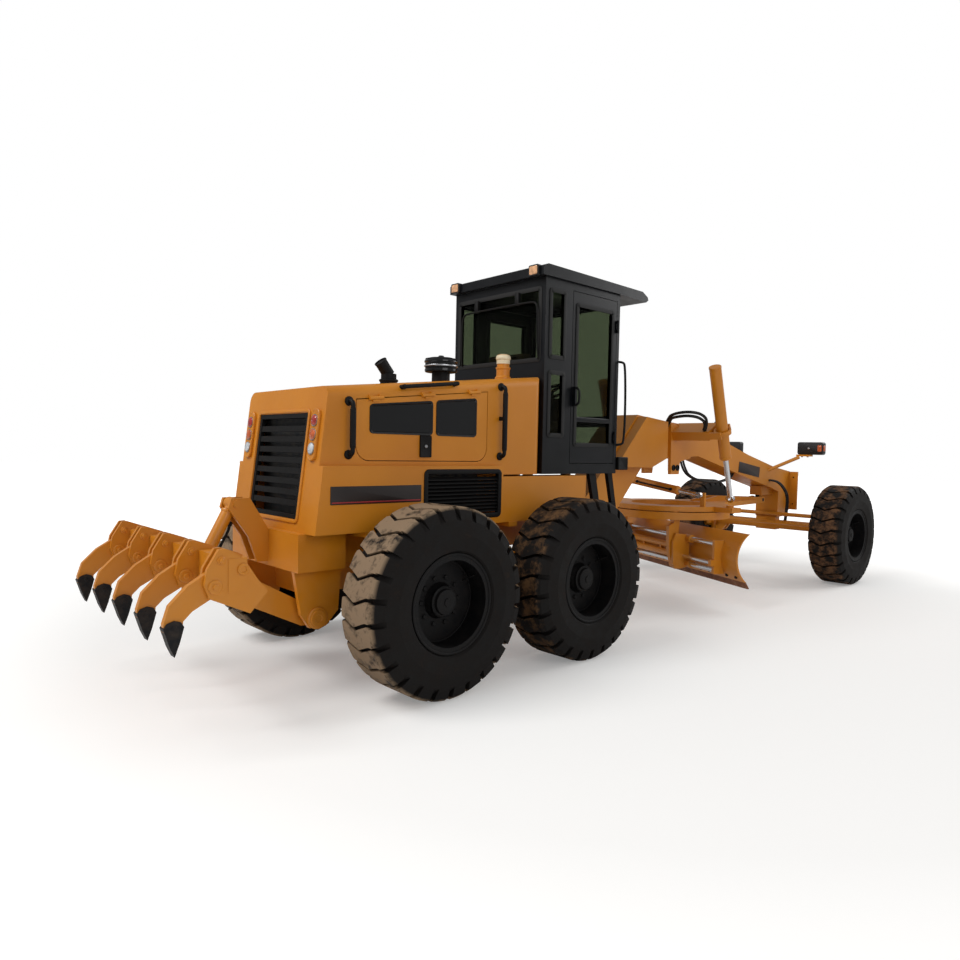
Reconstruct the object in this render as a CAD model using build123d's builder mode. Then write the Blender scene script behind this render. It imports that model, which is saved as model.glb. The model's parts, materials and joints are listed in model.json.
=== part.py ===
from build123d import *

import os
from math import asin, atan2, cos, degrees, hypot, radians, sin

# Motor grader with a rear ripper. Millimetres; X forward, Y left, Z up.
# The origin is on the ground, midway between the four rear wheels.

# Driving dimensions
TYRE_OD = 1360
TYRE_WIDTH = 445
RIM_SEAT_D = 635
TANDEM_PITCH = 1538
TRACK = 2156
WHEELBASE = 6500
AXLE_Z = TYRE_OD / 2

RUNNING_GAP = 0.5      # radial play of a pin or spindle in its bore
SEAT_GAP = 0.3         # play under a sliding or turning face
CLEARANCE = 6          # free space round a door or a moving piece
PANEL = 30             # hood and door panel thickness

# Rear frame
RAIL_IN, RAIL_OUT = 290, 410
RAIL_LOW, RAIL_TOP = 890, 1140
RAIL_REAR_X, RAIL_FRONT_X = -1560, 1500
REAR_BOX_X = (-1569, -1189)
REAR_BOX_HALF = 540

# Articulation
HITCH_X = 1750
HITCH_PIN_R = 60
HITCH_HUB_R = 110
HITCH_LUG_R = 130
HITCH_LOW, HITCH_TOP = 850, 1250
HITCH_LUG = 50

# Hood
HOOD_REAR_X = -1514
HOOD_LEAN = 0.1224     # forward lean of the rear face, run over rise
HOOD_REAR_TOP_Z = 2180
HOOD_FRONT_X, HOOD_FRONT_TOP_Z = 790, 2420
HOOD_LOW_HALF, HOOD_HALF = 670, 615
HOOD_LEDGE_Z = 1620
HOOD_LOW_FRONT_X = 270
HOOD_SILL_Z = 1545
HOOD_EDGE_R = 80
GRILLE_HALF, GRILLE_LOW, GRILLE_HIGH = 385, 90, 860
HOOD_DOOR_X = (-1160, 117)
HOOD_DOOR_LOW = 1660
HOOD_DOOR_DROP = 110   # door top edge below the hood's top line
HOOD_DOOR_R = 110

# Cab
CAB_X = (800, 1890)
CAB_HALF = 620
CAB_Z = (1545, 3330)
CAB_WALL = 50
CAB_DOOR_X = (1180, 1840)
CAB_DOOR_Z = (1646, 3244)
ROOF_HALF = 645

# Front frame
BEAM_HALF = 170
NECK_BOX_HALF = 300
SADDLE_X, SADDLE_Y, SADDLE_Z = WHEELBASE - 2860, 800, 2020
NOSE_X = WHEELBASE + 330

# Front axle and steering
LEAN_Y, LEAN_Z = 760, 620
KINGPIN_Y = 870
KINGPIN_R = 30
LEAN_BAR_X, LEAN_BAR_Z = WHEELBASE - 95, 900
STEER_ARM = 200

# Drawbar, circle and blade
BALL_X, BALL_Z = WHEELBASE - 350, 1110
CIRCLE_X, CIRCLE_Y = BALL_X - 2020, 200
CIRCLE_R = 760
CIRCLE_Z = (960, 1050)
DRAWBAR_Z = (1060, 1120)
LIFT_LUG_BACK, LIFT_LUG_Y, LIFT_EYE_Z = 2010, 900, 1230
LIFT_STUD, LIFT_STUD_R = 22, 45
BLADE_YAW = 24
BLADE_LENGTH = 3048
BLADE_Z = (270, 880)
TILT_X, TILT_Z = -300, 430
RAIL_ROD_X, RAIL_ROD_R = -160, 28
RAIL_ROD_Z = (440, 740)
SHIFT_X, SHIFT_Z = -215, 525

# Ripper
RIPPER_PIVOT = (-1380, 520)
RIPPER_TOP_PIN = (-1810, 1330)
RIPPER_ROD_PIN = (-2090, 790)
SHANK_PITCH, SHANK_COUNT = 460, 5

SIDES = (-1, 1)        # right, left
WORLD_UP = (0, 0, 1)

# Door hinges: barrels on a pin that stands off the wall
HINGE_R, HINGE_PIN_R = 13, 6
HINGE_OUT = 16
HINGE_LEAF = 26
HINGE_HALF = 60
HINGE_DOOR = 30
HINGE_FIXED = [(-HINGE_HALF, -HINGE_DOOR - RUNNING_GAP), (HINGE_DOOR + RUNNING_GAP, HINGE_HALF)]
CAB_HINGE_X = CAB_DOOR_X[1] + CLEARANCE / 2
CAB_HINGE_Z = (1900, 3000)



def plate_y(points, y_low, y_high, mode=Mode.ADD):
    """An outline in X and Z, as thick as the span in Y."""
    with BuildSketch(Plane.XZ.offset(-y_low)) as outline:
        with BuildLine():
            Polyline(*points, close=True)
        make_face()
    extrude(outline.sketch, amount=y_low - y_high, mode=mode)


def plate_x(points, x_low, x_high, mode=Mode.ADD):
    """An outline in Y and Z, as thick as the span in X."""
    with BuildSketch(Plane.YZ.offset(x_low)) as outline:
        with BuildLine():
            Polyline(*points, close=True)
        make_face()
    extrude(outline.sketch, amount=x_high - x_low, mode=mode)


def plate_z(points, z_low, z_high, mode=Mode.ADD):
    """An outline in X and Y, as thick as the span in Z."""
    with BuildSketch(Plane.XY.offset(z_low)) as outline:
        with BuildLine():
            Polyline(*points, close=True)
        make_face()
    extrude(outline.sketch, amount=z_high - z_low, mode=mode)


def block(x_span, y_span, z_span, mode=Mode.ADD):
    """A rectangular block between three pairs of limits."""
    spans = (x_span, y_span, z_span)
    middle = tuple((low + high) / 2 for low, high in spans)
    size = tuple(abs(high - low) for low, high in spans)
    with Locations(middle):
        Box(*size, mode=mode)


def side_span(side, inner, outer):
    """The Y limits of a piece that lies from inner to outer on one side."""
    return tuple(sorted((side * inner, side * outer)))


def bar(start, end, radius, mode=Mode.ADD):
    """A round bar between two points."""
    axis = Vector(*end) - Vector(*start)
    with BuildSketch(Plane(origin=start, z_dir=axis)) as section:
        Circle(radius)
    extrude(section.sketch, amount=axis.length, mode=mode)


def rod_path(points, radius, bend):
    """A bent round rod through the given points."""
    with BuildLine() as path:
        FilletPolyline(*points, radius=bend)
    with BuildSketch(Plane(origin=path.line @ 0, z_dir=path.line % 0)) as section:
        Circle(radius)
    sweep(section.sketch, path=path.line)


def spin_y(profile, centre):
    """A profile of (sideways, radius) points turned about an axis along Y."""
    with BuildSketch(Plane(origin=centre, x_dir=(0, 1, 0), z_dir=(1, 0, 0))) as section:
        with BuildLine():
            Polyline(*profile, close=True)
        make_face()
    revolve(section.sketch, axis=Axis(centre, (0, 1, 0)))


def hinge_half(centre, axis, leaf, inward, spans):
    """Barrels of a hinge on its axis, each with a leaf that lies on the wall beside it."""
    along_leaf, to_wall = Vector(*leaf).normalized(), Vector(*inward).normalized()
    wall_sign = 1 if Vector(*axis).cross(along_leaf).dot(to_wall) > 0 else -1
    for low, high in spans:
        start = Vector(*centre) + Vector(*axis).normalized() * low
        with BuildSketch(Plane(origin=start, x_dir=along_leaf, z_dir=axis)) as section:
            Circle(HINGE_R)
            with Locations((HINGE_LEAF / 2, wall_sign * HINGE_OUT / 2)):
                Rectangle(HINGE_LEAF, HINGE_OUT)
        extrude(section.sketch, amount=high - low)


def hinge_pin(centre, axis, radius, mode=Mode.ADD):
    """The pin, or with a larger radius its bore, along the whole hinge."""
    reach = Vector(*axis).normalized() * HINGE_HALF
    bar(tuple(Vector(*centre) - reach), tuple(Vector(*centre) + reach), radius, mode)


def finish(piece, node):
    """Name a finished solid and write it."""
    piece.label = node
    export_step(piece, f"parts/{node}.step")


def side_name(side):
    return "right" if side < 0 else "left"


def along(start, end, distance):
    """The point at a distance from start towards end."""
    step = Vector(*end) - Vector(*start)
    point = Vector(*start) + step * (distance / step.length)
    return (point.X, point.Y, point.Z)


os.makedirs("parts", exist_ok=True)

# Tyres: bead between the rim flanges, bulged wall, square shoulder, out to the lug tips
RIM_R = RIM_SEAT_D / 2
RIM_HALF = 190
FLANGE = 12
FLANGE_R = 350
wall_half = TYRE_WIDTH / 2
TYRE_SIDE = [  # sideways, radius
    (RIM_HALF - FLANGE - SEAT_GAP, RIM_R + SEAT_GAP),
    (RIM_HALF - FLANGE - SEAT_GAP, FLANGE_R + 3),
    (wall_half - 16, FLANGE_R + 25),
    (wall_half, 0.71 * AXLE_Z),
    (wall_half - 8, 0.87 * AXLE_Z),
    (wall_half - 30, 0.965 * AXLE_Z),
    (wall_half - 62, AXLE_Z),
]
tyre_profile = TYRE_SIDE + [(-w, r) for w, r in reversed(TYRE_SIDE)]

# One zigzag groove across the tread, deeper where it runs out over the shoulders; the lugs stand between
LUG_COUNT = 26
GROOVE_HALF, GROOVE_DEPTH = 13, 38
NOTCH_HALF, NOTCH_IN, NOTCH_DEPTH = 20, 75, 105
GROOVE_OVER = 20       # how far the cutters stand proud of the tread
GROOVE_LINE = [  # share of the half width, offset round the tyre
    (-1.0, 12),
    (-0.55, 12),
    (-0.1, -34),
    (0.45, 16),
    (1.0, 16),
]
with BuildPart() as groove:
    ahead = [(share * (wall_half + GROOVE_OVER), offset + GROOVE_HALF) for share, offset in GROOVE_LINE]
    behind = [(share * (wall_half + GROOVE_OVER), offset - GROOVE_HALF) for share, offset in GROOVE_LINE]
    with BuildSketch(Plane(origin=(0, 0, AXLE_Z + GROOVE_OVER), x_dir=(0, 1, 0), z_dir=WORLD_UP)) as zigzag:
        with BuildLine():
            Polyline(*ahead, *reversed(behind), close=True)
        make_face()
    extrude(zigzag.sketch, amount=-(GROOVE_OVER + GROOVE_DEPTH))
    for side, offset in ((-1, GROOVE_LINE[0][1]), (1, GROOVE_LINE[-1][1])):
        notch = [(side * (wall_half - NOTCH_IN), AXLE_Z - GROOVE_DEPTH),
                 (side * (wall_half + GROOVE_OVER), AXLE_Z - NOTCH_DEPTH - GROOVE_OVER),
                 (side * (wall_half + GROOVE_OVER), AXLE_Z + GROOVE_OVER),
                 (side * (wall_half - NOTCH_IN), AXLE_Z + GROOVE_OVER)]
        plate_x(notch, -offset - NOTCH_HALF, -offset + NOTCH_HALF)

with BuildPart() as tyre:
    spin_y(tyre_profile, (0, 0, 0))
    with Locations(*[Location((0, 0, 0), (0, number * 360 / LUG_COUNT, 0)) for number in range(LUG_COUNT)]):
        add(groove.part, mode=Mode.SUBTRACT)

# Wheel rims: two flanges, a deep dish and a hub with a blind spindle bore
SPINDLE_R = 60
HUB_R = 130
HUB_IN, HUB_OUT = -60, 75
DISC = (14, 30)
CAP = 20
rim_profile = [  # sideways (outside positive), radius
    (-RIM_HALF, RIM_R - FLANGE), (-RIM_HALF, FLANGE_R), (FLANGE - RIM_HALF, FLANGE_R),
    (FLANGE - RIM_HALF, RIM_R), (RIM_HALF - FLANGE, RIM_R), (RIM_HALF - FLANGE, FLANGE_R),
    (RIM_HALF, FLANGE_R), (RIM_HALF, RIM_R - FLANGE), (DISC[1], RIM_R - FLANGE),
    (DISC[1], HUB_R), (HUB_OUT, HUB_R - CAP), (HUB_OUT, 0), (HUB_OUT - CAP, 0),
    (HUB_OUT - CAP, SPINDLE_R + RUNNING_GAP), (HUB_IN, SPINDLE_R + RUNNING_GAP),
    (HUB_IN, HUB_R), (DISC[0], HUB_R), (DISC[0], RIM_R - FLANGE),
]
with BuildPart() as rim:
    spin_y(rim_profile, (0, 0, 0))

WHEELS = [  # place, x
    ("rear", -TANDEM_PITCH / 2),
    ("middle", TANDEM_PITCH / 2),
    ("front", WHEELBASE),
]
for place, wheel_x in WHEELS:
    for side in SIDES:
        turn = Location((wheel_x, side * TRACK / 2, AXLE_Z), (0, 0, 0 if side > 0 else 180))
        finish(tyre.part.moved(turn), f"tyre_{place}_{side_name(side)}")
        finish(rim.part.moved(turn), f"rim_{place}_{side_name(side)}")

SPINDLE_END_Y = TRACK / 2 + HUB_OUT - CAP - 5

# Rear axle with the two chain cases that carry the four rear wheels
CASE_IN, CASE_OUT = 600, 820
CASE_HEIGHT = 440
AXLE_TUBE_R = 150
DIFFERENTIAL_R = 270
DIFFERENTIAL_HALF = 230
with BuildPart() as tandem_axle:
    bar((0, -CASE_IN, AXLE_Z), (0, CASE_IN, AXLE_Z), AXLE_TUBE_R)
    bar((0, -DIFFERENTIAL_HALF, AXLE_Z), (0, DIFFERENTIAL_HALF, AXLE_Z), DIFFERENTIAL_R)
    for side in SIDES:
        low, high = side_span(side, CASE_IN, CASE_OUT)
        with BuildSketch(Plane.XZ.offset(-low)) as case_side:
            with Locations((0, AXLE_Z)):
                SlotCenterToCenter(TANDEM_PITCH, CASE_HEIGHT)
        extrude(case_side.sketch, amount=low - high)
        block((-150, 150), side_span(side, RAIL_IN, RAIL_OUT), (AXLE_Z, RAIL_LOW))
        for wheel_x in (-TANDEM_PITCH / 2, TANDEM_PITCH / 2):
            case_face = (wheel_x, side * CASE_OUT, AXLE_Z)
            bar(case_face, (wheel_x, side * (CASE_OUT + 60), AXLE_Z), 180)
            bar(case_face, (wheel_x, side * SPINDLE_END_Y, AXLE_Z), SPINDLE_R)
finish(tandem_axle.part, "tandem_axle")

# Rear frame: rails, rear box with the ripper cheeks, cylinder tower, outriggers and hitch
RIPPER_CHEEK_IN, RIPPER_CHEEK_OUT = 440, 480
RIPPER_PIN_R = 40
RIPPER_EYE_R = 28
TOWER_IN, TOWER_OUT = 52, 82
PLATE = 40
pivot_x, pivot_z = RIPPER_PIVOT
tower_x, tower_z = RIPPER_TOP_PIN
box_rear, box_front = REAR_BOX_X
with BuildPart() as rear_frame:
    for side in SIDES:
        block((RAIL_REAR_X, RAIL_FRONT_X), side_span(side, RAIL_IN, RAIL_OUT), (RAIL_LOW, RAIL_TOP))
        for x in (-1050, -150, 400, 1250):
            block((x - 50, x + 50), side_span(side, RAIL_IN, HOOD_LOW_HALF - 2), (RAIL_TOP - PLATE, RAIL_TOP))
        for x in (900, 1440):
            bar((x, side * 350, RAIL_TOP), (x, side * 350, CAB_Z[0]), 50)
        cheek = [(box_rear, 890), (box_front, 890), (box_front - 20, 560), (pivot_x + 70, pivot_z - 65),
                 (pivot_x - 60, pivot_z - 65), (pivot_x - 130, 560)]
        plate_y(cheek, *side_span(side, RIPPER_CHEEK_IN, RIPPER_CHEEK_OUT))
        tower = [(box_rear + 10, 900), (box_rear + 10, RAIL_TOP - 15), (tower_x + 100, tower_z + 40),
                 (tower_x - 40, tower_z + 40), (tower_x - 60, tower_z - 30), (tower_x + 90, 1090),
                 (tower_x + 160, 900)]
        plate_y(tower, *side_span(side, TOWER_IN, TOWER_OUT))
    block(REAR_BOX_X, (-REAR_BOX_HALF, REAR_BOX_HALF), (870, RAIL_TOP))
    block((box_front - 60, box_front - 20), (-RIPPER_CHEEK_IN, RIPPER_CHEEK_IN), (600, 870))
    bar((pivot_x, -RIPPER_CHEEK_OUT - 12, pivot_z), (pivot_x, RIPPER_CHEEK_OUT + 12, pivot_z), RIPPER_PIN_R)
    bar((tower_x, -TOWER_OUT - 10, tower_z), (tower_x, TOWER_OUT + 10, tower_z), RIPPER_EYE_R)
    for x in (-900, 500):
        block((x - 60, x + 60), (-RAIL_IN, RAIL_IN), (RAIL_LOW + 30, RAIL_TOP - 30))
    block((RAIL_FRONT_X - 60, RAIL_FRONT_X), (-RAIL_OUT, RAIL_OUT),
          (HITCH_LOW - 10 - HITCH_LUG, HITCH_TOP + 10 + HITCH_LUG))
    for low in (HITCH_LOW - 10 - HITCH_LUG, HITCH_TOP + 10):
        lug = [(RAIL_FRONT_X, -RAIL_IN), (HITCH_X, -HITCH_LUG_R), (HITCH_X, HITCH_LUG_R), (RAIL_FRONT_X, RAIL_IN)]
        plate_z(lug, low, low + HITCH_LUG)
        bar((HITCH_X, 0, low), (HITCH_X, 0, low + HITCH_LUG), HITCH_LUG_R)
    bar((HITCH_X, 0, HITCH_LOW - 10 - HITCH_LUG), (HITCH_X, 0, HITCH_TOP + 20 + HITCH_LUG), HITCH_PIN_R)
finish(rear_frame.part, "rear_frame")

# Engine block and radiator, plain masses at their real place
with BuildPart() as engine:
    block((-900, 220), (-RAIL_OUT + 20, RAIL_OUT - 20), (RAIL_TOP, 1950))
    block((-1340, -1180), (-460, 460), (RAIL_TOP, 2010))
finish(engine.part, "engine")

# Hood: a lower body with a ledge and a narrower upper body whose top line rises forward
HOOD_RISE = (HOOD_FRONT_TOP_Z - HOOD_REAR_TOP_Z) / (
    HOOD_FRONT_X - HOOD_REAR_X - HOOD_LEAN * (HOOD_REAR_TOP_Z - RAIL_TOP))


def hood_rear_x(z):
    return HOOD_REAR_X + HOOD_LEAN * (z - RAIL_TOP)


def hood_top_z(x):
    return HOOD_FRONT_TOP_Z - HOOD_RISE * (HOOD_FRONT_X - x)


def hood_form(inset, edge_r):
    """The hood's outer or, with an inset, inner form; called inside its own part block."""
    low_half, half = HOOD_LOW_HALF - inset, HOOD_HALF - inset
    floor_drop = 5 * inset
    low_body = [(hood_rear_x(RAIL_TOP - floor_drop) + inset, RAIL_TOP - floor_drop),
                (HOOD_LOW_FRONT_X - inset, RAIL_TOP - floor_drop),
                (HOOD_LOW_FRONT_X - inset, HOOD_LEDGE_Z - inset),
                (hood_rear_x(HOOD_LEDGE_Z - inset) + inset, HOOD_LEDGE_Z - inset)]
    top_rear_z = hood_top_z(hood_rear_x(HOOD_REAR_TOP_Z)) - inset
    top_body = [(hood_rear_x(HOOD_LEDGE_Z - 2 * inset) + inset, HOOD_LEDGE_Z - 2 * inset - 1),
                (HOOD_LOW_FRONT_X - 1, HOOD_LEDGE_Z - 2 * inset - 1),
                (HOOD_LOW_FRONT_X - 1, HOOD_SILL_Z - floor_drop),
                (HOOD_FRONT_X - inset, HOOD_SILL_Z - floor_drop),
                (HOOD_FRONT_X - inset, HOOD_FRONT_TOP_Z - inset),
                (hood_rear_x(top_rear_z) + inset, top_rear_z)]
    plate_y(top_body, -half, half)
    roof_edges = [e for e in edges()
                  if e.length > HOOD_FRONT_X and e.center().Z > HOOD_LEDGE_Z + PANEL
                  and abs(e.center().Y) > half - 1]
    fillet(roof_edges, edge_r)
    plate_y(low_body, -low_half, low_half)


rear_tilt = degrees(atan2(HOOD_LEAN, 1))
REAR_FACE = Plane(origin=(HOOD_REAR_X, 0, RAIL_TOP), x_dir=(0, -1, 0),
                  z_dir=(-cos(radians(rear_tilt)), 0, sin(radians(rear_tilt))))


def rear_panel(half, low, high, depth_out, depth_in, mode=Mode.ADD, centre=0, corner=0):
    """A panel in the sloped rear face, with heights measured along the slope."""
    with BuildSketch(REAR_FACE.offset(depth_out)) as panel:
        with Locations((centre, (low + high) / 2)):
            if corner:
                RectangleRounded(2 * half, high - low, corner)
            else:
                Rectangle(2 * half, high - low)
    extrude(panel.sketch, amount=-(depth_out + depth_in), mode=mode)


def hood_door_outline(gap):
    """The door's corner points, grown by a gap; the top edge follows the hood's top line."""
    rear, front = HOOD_DOOR_X
    return [(rear - gap, HOOD_DOOR_LOW - gap), (front + gap, HOOD_DOOR_LOW - gap),
            (front + gap, hood_top_z(front) - HOOD_DOOR_DROP + gap),
            (rear - gap, hood_top_z(rear) - HOOD_DOOR_DROP + gap)]


def hood_door_solid(side, gap, thickness, mode=Mode.ADD):
    """The door's slab with its two lower corners rounded."""
    low, high = side_span(side, HOOD_HALF - thickness, HOOD_HALF)
    with BuildSketch(Plane.XZ.offset(-low)) as slab:
        with BuildLine():
            Polyline(*hood_door_outline(gap), close=True)
        make_face()
        low_corners = slab.vertices().sort_by(Axis.Y)[:2]
        fillet(low_corners, HOOD_DOOR_R + gap)
    extrude(slab.sketch, amount=low - high, mode=mode)


def hood_hinge(side, x):
    """A point on the door's hinge line and the line's direction."""
    z = hood_top_z(x) - HOOD_DOOR_DROP + CLEARANCE / 2
    return (x, side * (HOOD_HALF + HINGE_OUT), z), (1, 0, HOOD_RISE)


HOOD_HINGE_X = (-1000, -520, -40)
LOUVRE_X, LOUVRE_Z = (-565, HOOD_LOW_FRONT_X - PANEL - 10), (1205, HOOD_LEDGE_Z - PANEL - 10)
FITTING_Y = -400
CAP_X, CAP_R, CAP_TOP = 500, 55, 2600
HOOD_WINDOWS = [  # rear x, front x, low z, rear top z, front top z
    (-1040, -470, 1865, 2062, 2120),
    (-420, -10, 1865, 2125, 2168),
]
with BuildPart() as hood_inside:
    hood_form(PANEL, HOOD_EDGE_R - PANEL)

with BuildPart() as hood:
    hood_form(0, HOOD_EDGE_R)
    add(hood_inside.part, mode=Mode.SUBTRACT)
    rear_panel(GRILLE_HALF, GRILLE_LOW, GRILLE_HIGH, 50, 3 * PANEL, Mode.SUBTRACT)
    bar((CAP_X, FITTING_Y, hood_top_z(CAP_X) - 10), (CAP_X, FITTING_Y, CAP_TOP), CAP_R)
    for side in SIDES:
        louvre_wall = side_span(side, HOOD_LOW_HALF - 2 * PANEL, HOOD_LOW_HALF + PANEL)
        block(LOUVRE_X, louvre_wall, LOUVRE_Z, Mode.SUBTRACT)
        hood_door_solid(side, CLEARANCE, 3 * PANEL, Mode.SUBTRACT)
        for x in HOOD_HINGE_X:
            centre, line = hood_hinge(side, x)
            hinge_half(centre, line, (-HOOD_RISE, 0, 1), (0, -side, 0), HINGE_FIXED)
            hinge_pin(centre, line, HINGE_PIN_R)
finish(hood.part, "hood")

for side in SIDES:
    with BuildPart() as hood_door:
        hood_door_solid(side, 0, PANEL)
        for x_rear, x_front, z_low, z_rear, z_front in HOOD_WINDOWS:
            window = [(x_rear, z_low), (x_front, z_low), (x_front, z_front), (x_rear, z_rear)]
            plate_y(window, *side_span(side, HOOD_HALF - 10, HOOD_HALF + 10), mode=Mode.SUBTRACT)
        block((-582, -484), side_span(side, HOOD_HALF, HOOD_HALF + 10), (1692, 1850))
        for x in HOOD_HINGE_X:
            centre, line = hood_hinge(side, x)
            hinge_half(centre, line, (HOOD_RISE, 0, -1), (0, -side, 0), [(-HINGE_DOOR, HINGE_DOOR)])
            hinge_pin(centre, line, HINGE_PIN_R + RUNNING_GAP, Mode.SUBTRACT)
    finish(hood_door.part, f"hood_door_{side_name(side)}")

# Rear grille: a frame with level bars, let into the rear face
GRILLE_BARS = 8
GRILLE_BORDER = 35
with BuildPart() as rear_grille:
    rear_panel(GRILLE_HALF, GRILLE_LOW, GRILLE_HIGH, 0, PANEL)
    opening_low, opening_high = GRILLE_LOW + GRILLE_BORDER, GRILLE_HIGH - GRILLE_BORDER
    rear_panel(GRILLE_HALF - GRILLE_BORDER, opening_low, opening_high, 10, 2 * PANEL, Mode.SUBTRACT)
    pitch = (opening_high - opening_low) / (GRILLE_BARS + 1)
    for row in range(1, GRILLE_BARS + 1):
        middle = opening_low + row * pitch
        rear_panel(GRILLE_HALF - GRILLE_BORDER, middle - 22, middle + 22, -4, PANEL - 4)
finish(rear_grille.part, "rear_grille")

# Side louvres: a frame in each lower side of the hood with slats that slope down and out
LOUVRE_BORDER = 25
LOUVRE_COUNT = 10
SLAT, SLAT_DROP = 6, 20
with BuildPart() as side_louvres:
    louvre_low, louvre_high = LOUVRE_Z[0] + LOUVRE_BORDER, LOUVRE_Z[1] - LOUVRE_BORDER
    slat_x = (LOUVRE_X[0] + LOUVRE_BORDER, LOUVRE_X[1] - LOUVRE_BORDER)
    pitch = (louvre_high - louvre_low) / (LOUVRE_COUNT + 1)
    for side in SIDES:
        wall = side_span(side, HOOD_LOW_HALF - PANEL, HOOD_LOW_HALF)
        block(LOUVRE_X, wall, LOUVRE_Z)
        block(slat_x, side_span(side, HOOD_LOW_HALF - 2 * PANEL, HOOD_LOW_HALF + PANEL), (louvre_low, louvre_high),
              Mode.SUBTRACT)
        for row in range(1, LOUVRE_COUNT + 1):
            inner_z = louvre_low + row * pitch
            slat = [(side * (HOOD_LOW_HALF - PANEL), inner_z), (side * HOOD_LOW_HALF, inner_z - SLAT_DROP),
                    (side * HOOD_LOW_HALF, inner_z - SLAT_DROP + SLAT),
                    (side * (HOOD_LOW_HALF - PANEL), inner_z + SLAT)]
            plate_x(slat, *slat_x)
finish(side_louvres.part, "side_louvres")

# Boxes under the cab and hood front
BOX_X = (280, 1380)
BOX_IN, BOX_OUT, BOX_LOW, BOX_TOP = 430, 660, 1140, 1530
with BuildPart() as side_tanks:
    for side in SIDES:
        block(BOX_X, side_span(side, BOX_IN, BOX_OUT), (BOX_LOW, BOX_TOP))
finish(side_tanks.part, "side_tanks")

# Cab: hollow shell with posts, floor, window and door openings, and a roof with a front visor
cab_rear, cab_front = CAB_X
cab_low, cab_high = CAB_Z
inner_half = CAB_HALF - CAB_WALL
REAR_WINDOW = ((-555, 555), (2580, 3220))
FRONT_WINDOWS = [  # y span, z span
    ((-540, 540), (2100, 3220)),
    ((-540, -60), (1700, 2030)),
    ((60, 540), (1700, 2030)),
]
QUARTER_WINDOWS = [  # x span, z span
    ((870, 1065), (2610, 3210)),
    ((870, 1065), (1900, 2470)),
]
with BuildPart() as cab_frame:
    block(CAB_X, (-CAB_HALF, CAB_HALF), CAB_Z)
    block((cab_rear + CAB_WALL, cab_front - CAB_WALL), (-inner_half, inner_half),
          (cab_low + CAB_WALL, cab_high - CAB_WALL), Mode.SUBTRACT)
    roof = [(738, 3320), (738, 3400), (800, 3425), (2230, 3405), (2320, 3360), (2330, 3330), (2290, 3305),
            (1900, 3320)]
    plate_y(roof, -ROOF_HALF, ROOF_HALF)
    block((cab_rear - 10, cab_rear + CAB_WALL + 10), *REAR_WINDOW, Mode.SUBTRACT)
    for y_span, z_span in FRONT_WINDOWS:
        block((cab_front - CAB_WALL - 10, cab_front + 10), y_span, z_span, Mode.SUBTRACT)
    for side in SIDES:
        wall = side_span(side, inner_half - 10, CAB_HALF + 10)
        for x_span, z_span in QUARTER_WINDOWS:
            block(x_span, wall, z_span, Mode.SUBTRACT)
        block((CAB_DOOR_X[0] - CLEARANCE, CAB_DOOR_X[1] + CLEARANCE), wall,
              (CAB_DOOR_Z[0] - CLEARANCE, CAB_DOOR_Z[1] + CLEARANCE), Mode.SUBTRACT)
        for z in CAB_HINGE_Z:
            centre = (CAB_HINGE_X, side * (CAB_HALF + HINGE_OUT), z)
            hinge_half(centre, WORLD_UP, (1, 0, 0), (0, -side, 0), HINGE_FIXED)
            hinge_pin(centre, WORLD_UP, HINGE_PIN_R)
finish(cab_frame.part, "cab_frame")

GLASS = 8
with BuildPart() as cab_glass:
    block((cab_rear + 16, cab_rear + 16 + GLASS), *REAR_WINDOW)
    for y_span, z_span in FRONT_WINDOWS:
        block((cab_front - 16 - GLASS, cab_front - 16), y_span, z_span)
    for side in SIDES:
        for x_span, z_span in QUARTER_WINDOWS:
            block(x_span, side_span(side, CAB_HALF - 16 - GLASS, CAB_HALF - 16), z_span)
finish(cab_glass.part, "cab_glass")

DOOR_GLASS = ((1240, 1780), (1820, 3130))
for side in SIDES:
    with BuildPart() as cab_door:
        block(CAB_DOOR_X, side_span(side, inner_half, CAB_HALF), CAB_DOOR_Z)
        block(DOOR_GLASS[0], side_span(side, inner_half - 10, CAB_HALF + 10), DOOR_GLASS[1], Mode.SUBTRACT)
        block((1196, 1222), side_span(side, CAB_HALF, CAB_HALF + 35), (2180, 2360))
        for z in CAB_HINGE_Z:
            centre = (CAB_HINGE_X, side * (CAB_HALF + HINGE_OUT), z)
            hinge_half(centre, WORLD_UP, (-1, 0, 0), (0, -side, 0), [(-HINGE_DOOR, HINGE_DOOR)])
            hinge_pin(centre, WORLD_UP, HINGE_PIN_R + RUNNING_GAP, Mode.SUBTRACT)
    finish(cab_door.part, f"cab_door_{side_name(side)}")
    with BuildPart() as door_glass:
        block(DOOR_GLASS[0], side_span(side, CAB_HALF - 16 - GLASS, CAB_HALF - 16), DOOR_GLASS[1])
    finish(door_glass.part, f"cab_door_glass_{side_name(side)}")

# Cab interior: seat on its base, steering column with wheel, lever console
floor_z = cab_low + CAB_WALL
with BuildPart() as cab_interior:
    block((1020, 1400), (-180, 180), (floor_z, floor_z + 330))
    block((980, 1460), (-250, 250), (floor_z + 330, floor_z + 460))
    plate_y([(980, floor_z + 460), (1090, floor_z + 460), (1010, floor_z + 1080), (920, floor_z + 1080)], -240, 240)
    plate_y([(1560, floor_z), (1700, floor_z), (1640, floor_z + 700), (1580, floor_z + 700)], -110, 110)
    wheel_plane = Plane(origin=(1590, 0, floor_z + 760), z_dir=(-0.5, 0, 1))
    bar((1610, 0, floor_z + 690), (1590, 0, floor_z + 760), 22)
    with BuildSketch(wheel_plane) as hand_wheel:
        Circle(215)
        Circle(185, mode=Mode.SUBTRACT)
        Rectangle(380, 36)
    extrude(hand_wheel.sketch, amount=24)
finish(cab_interior.part, "cab_interior")

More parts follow.
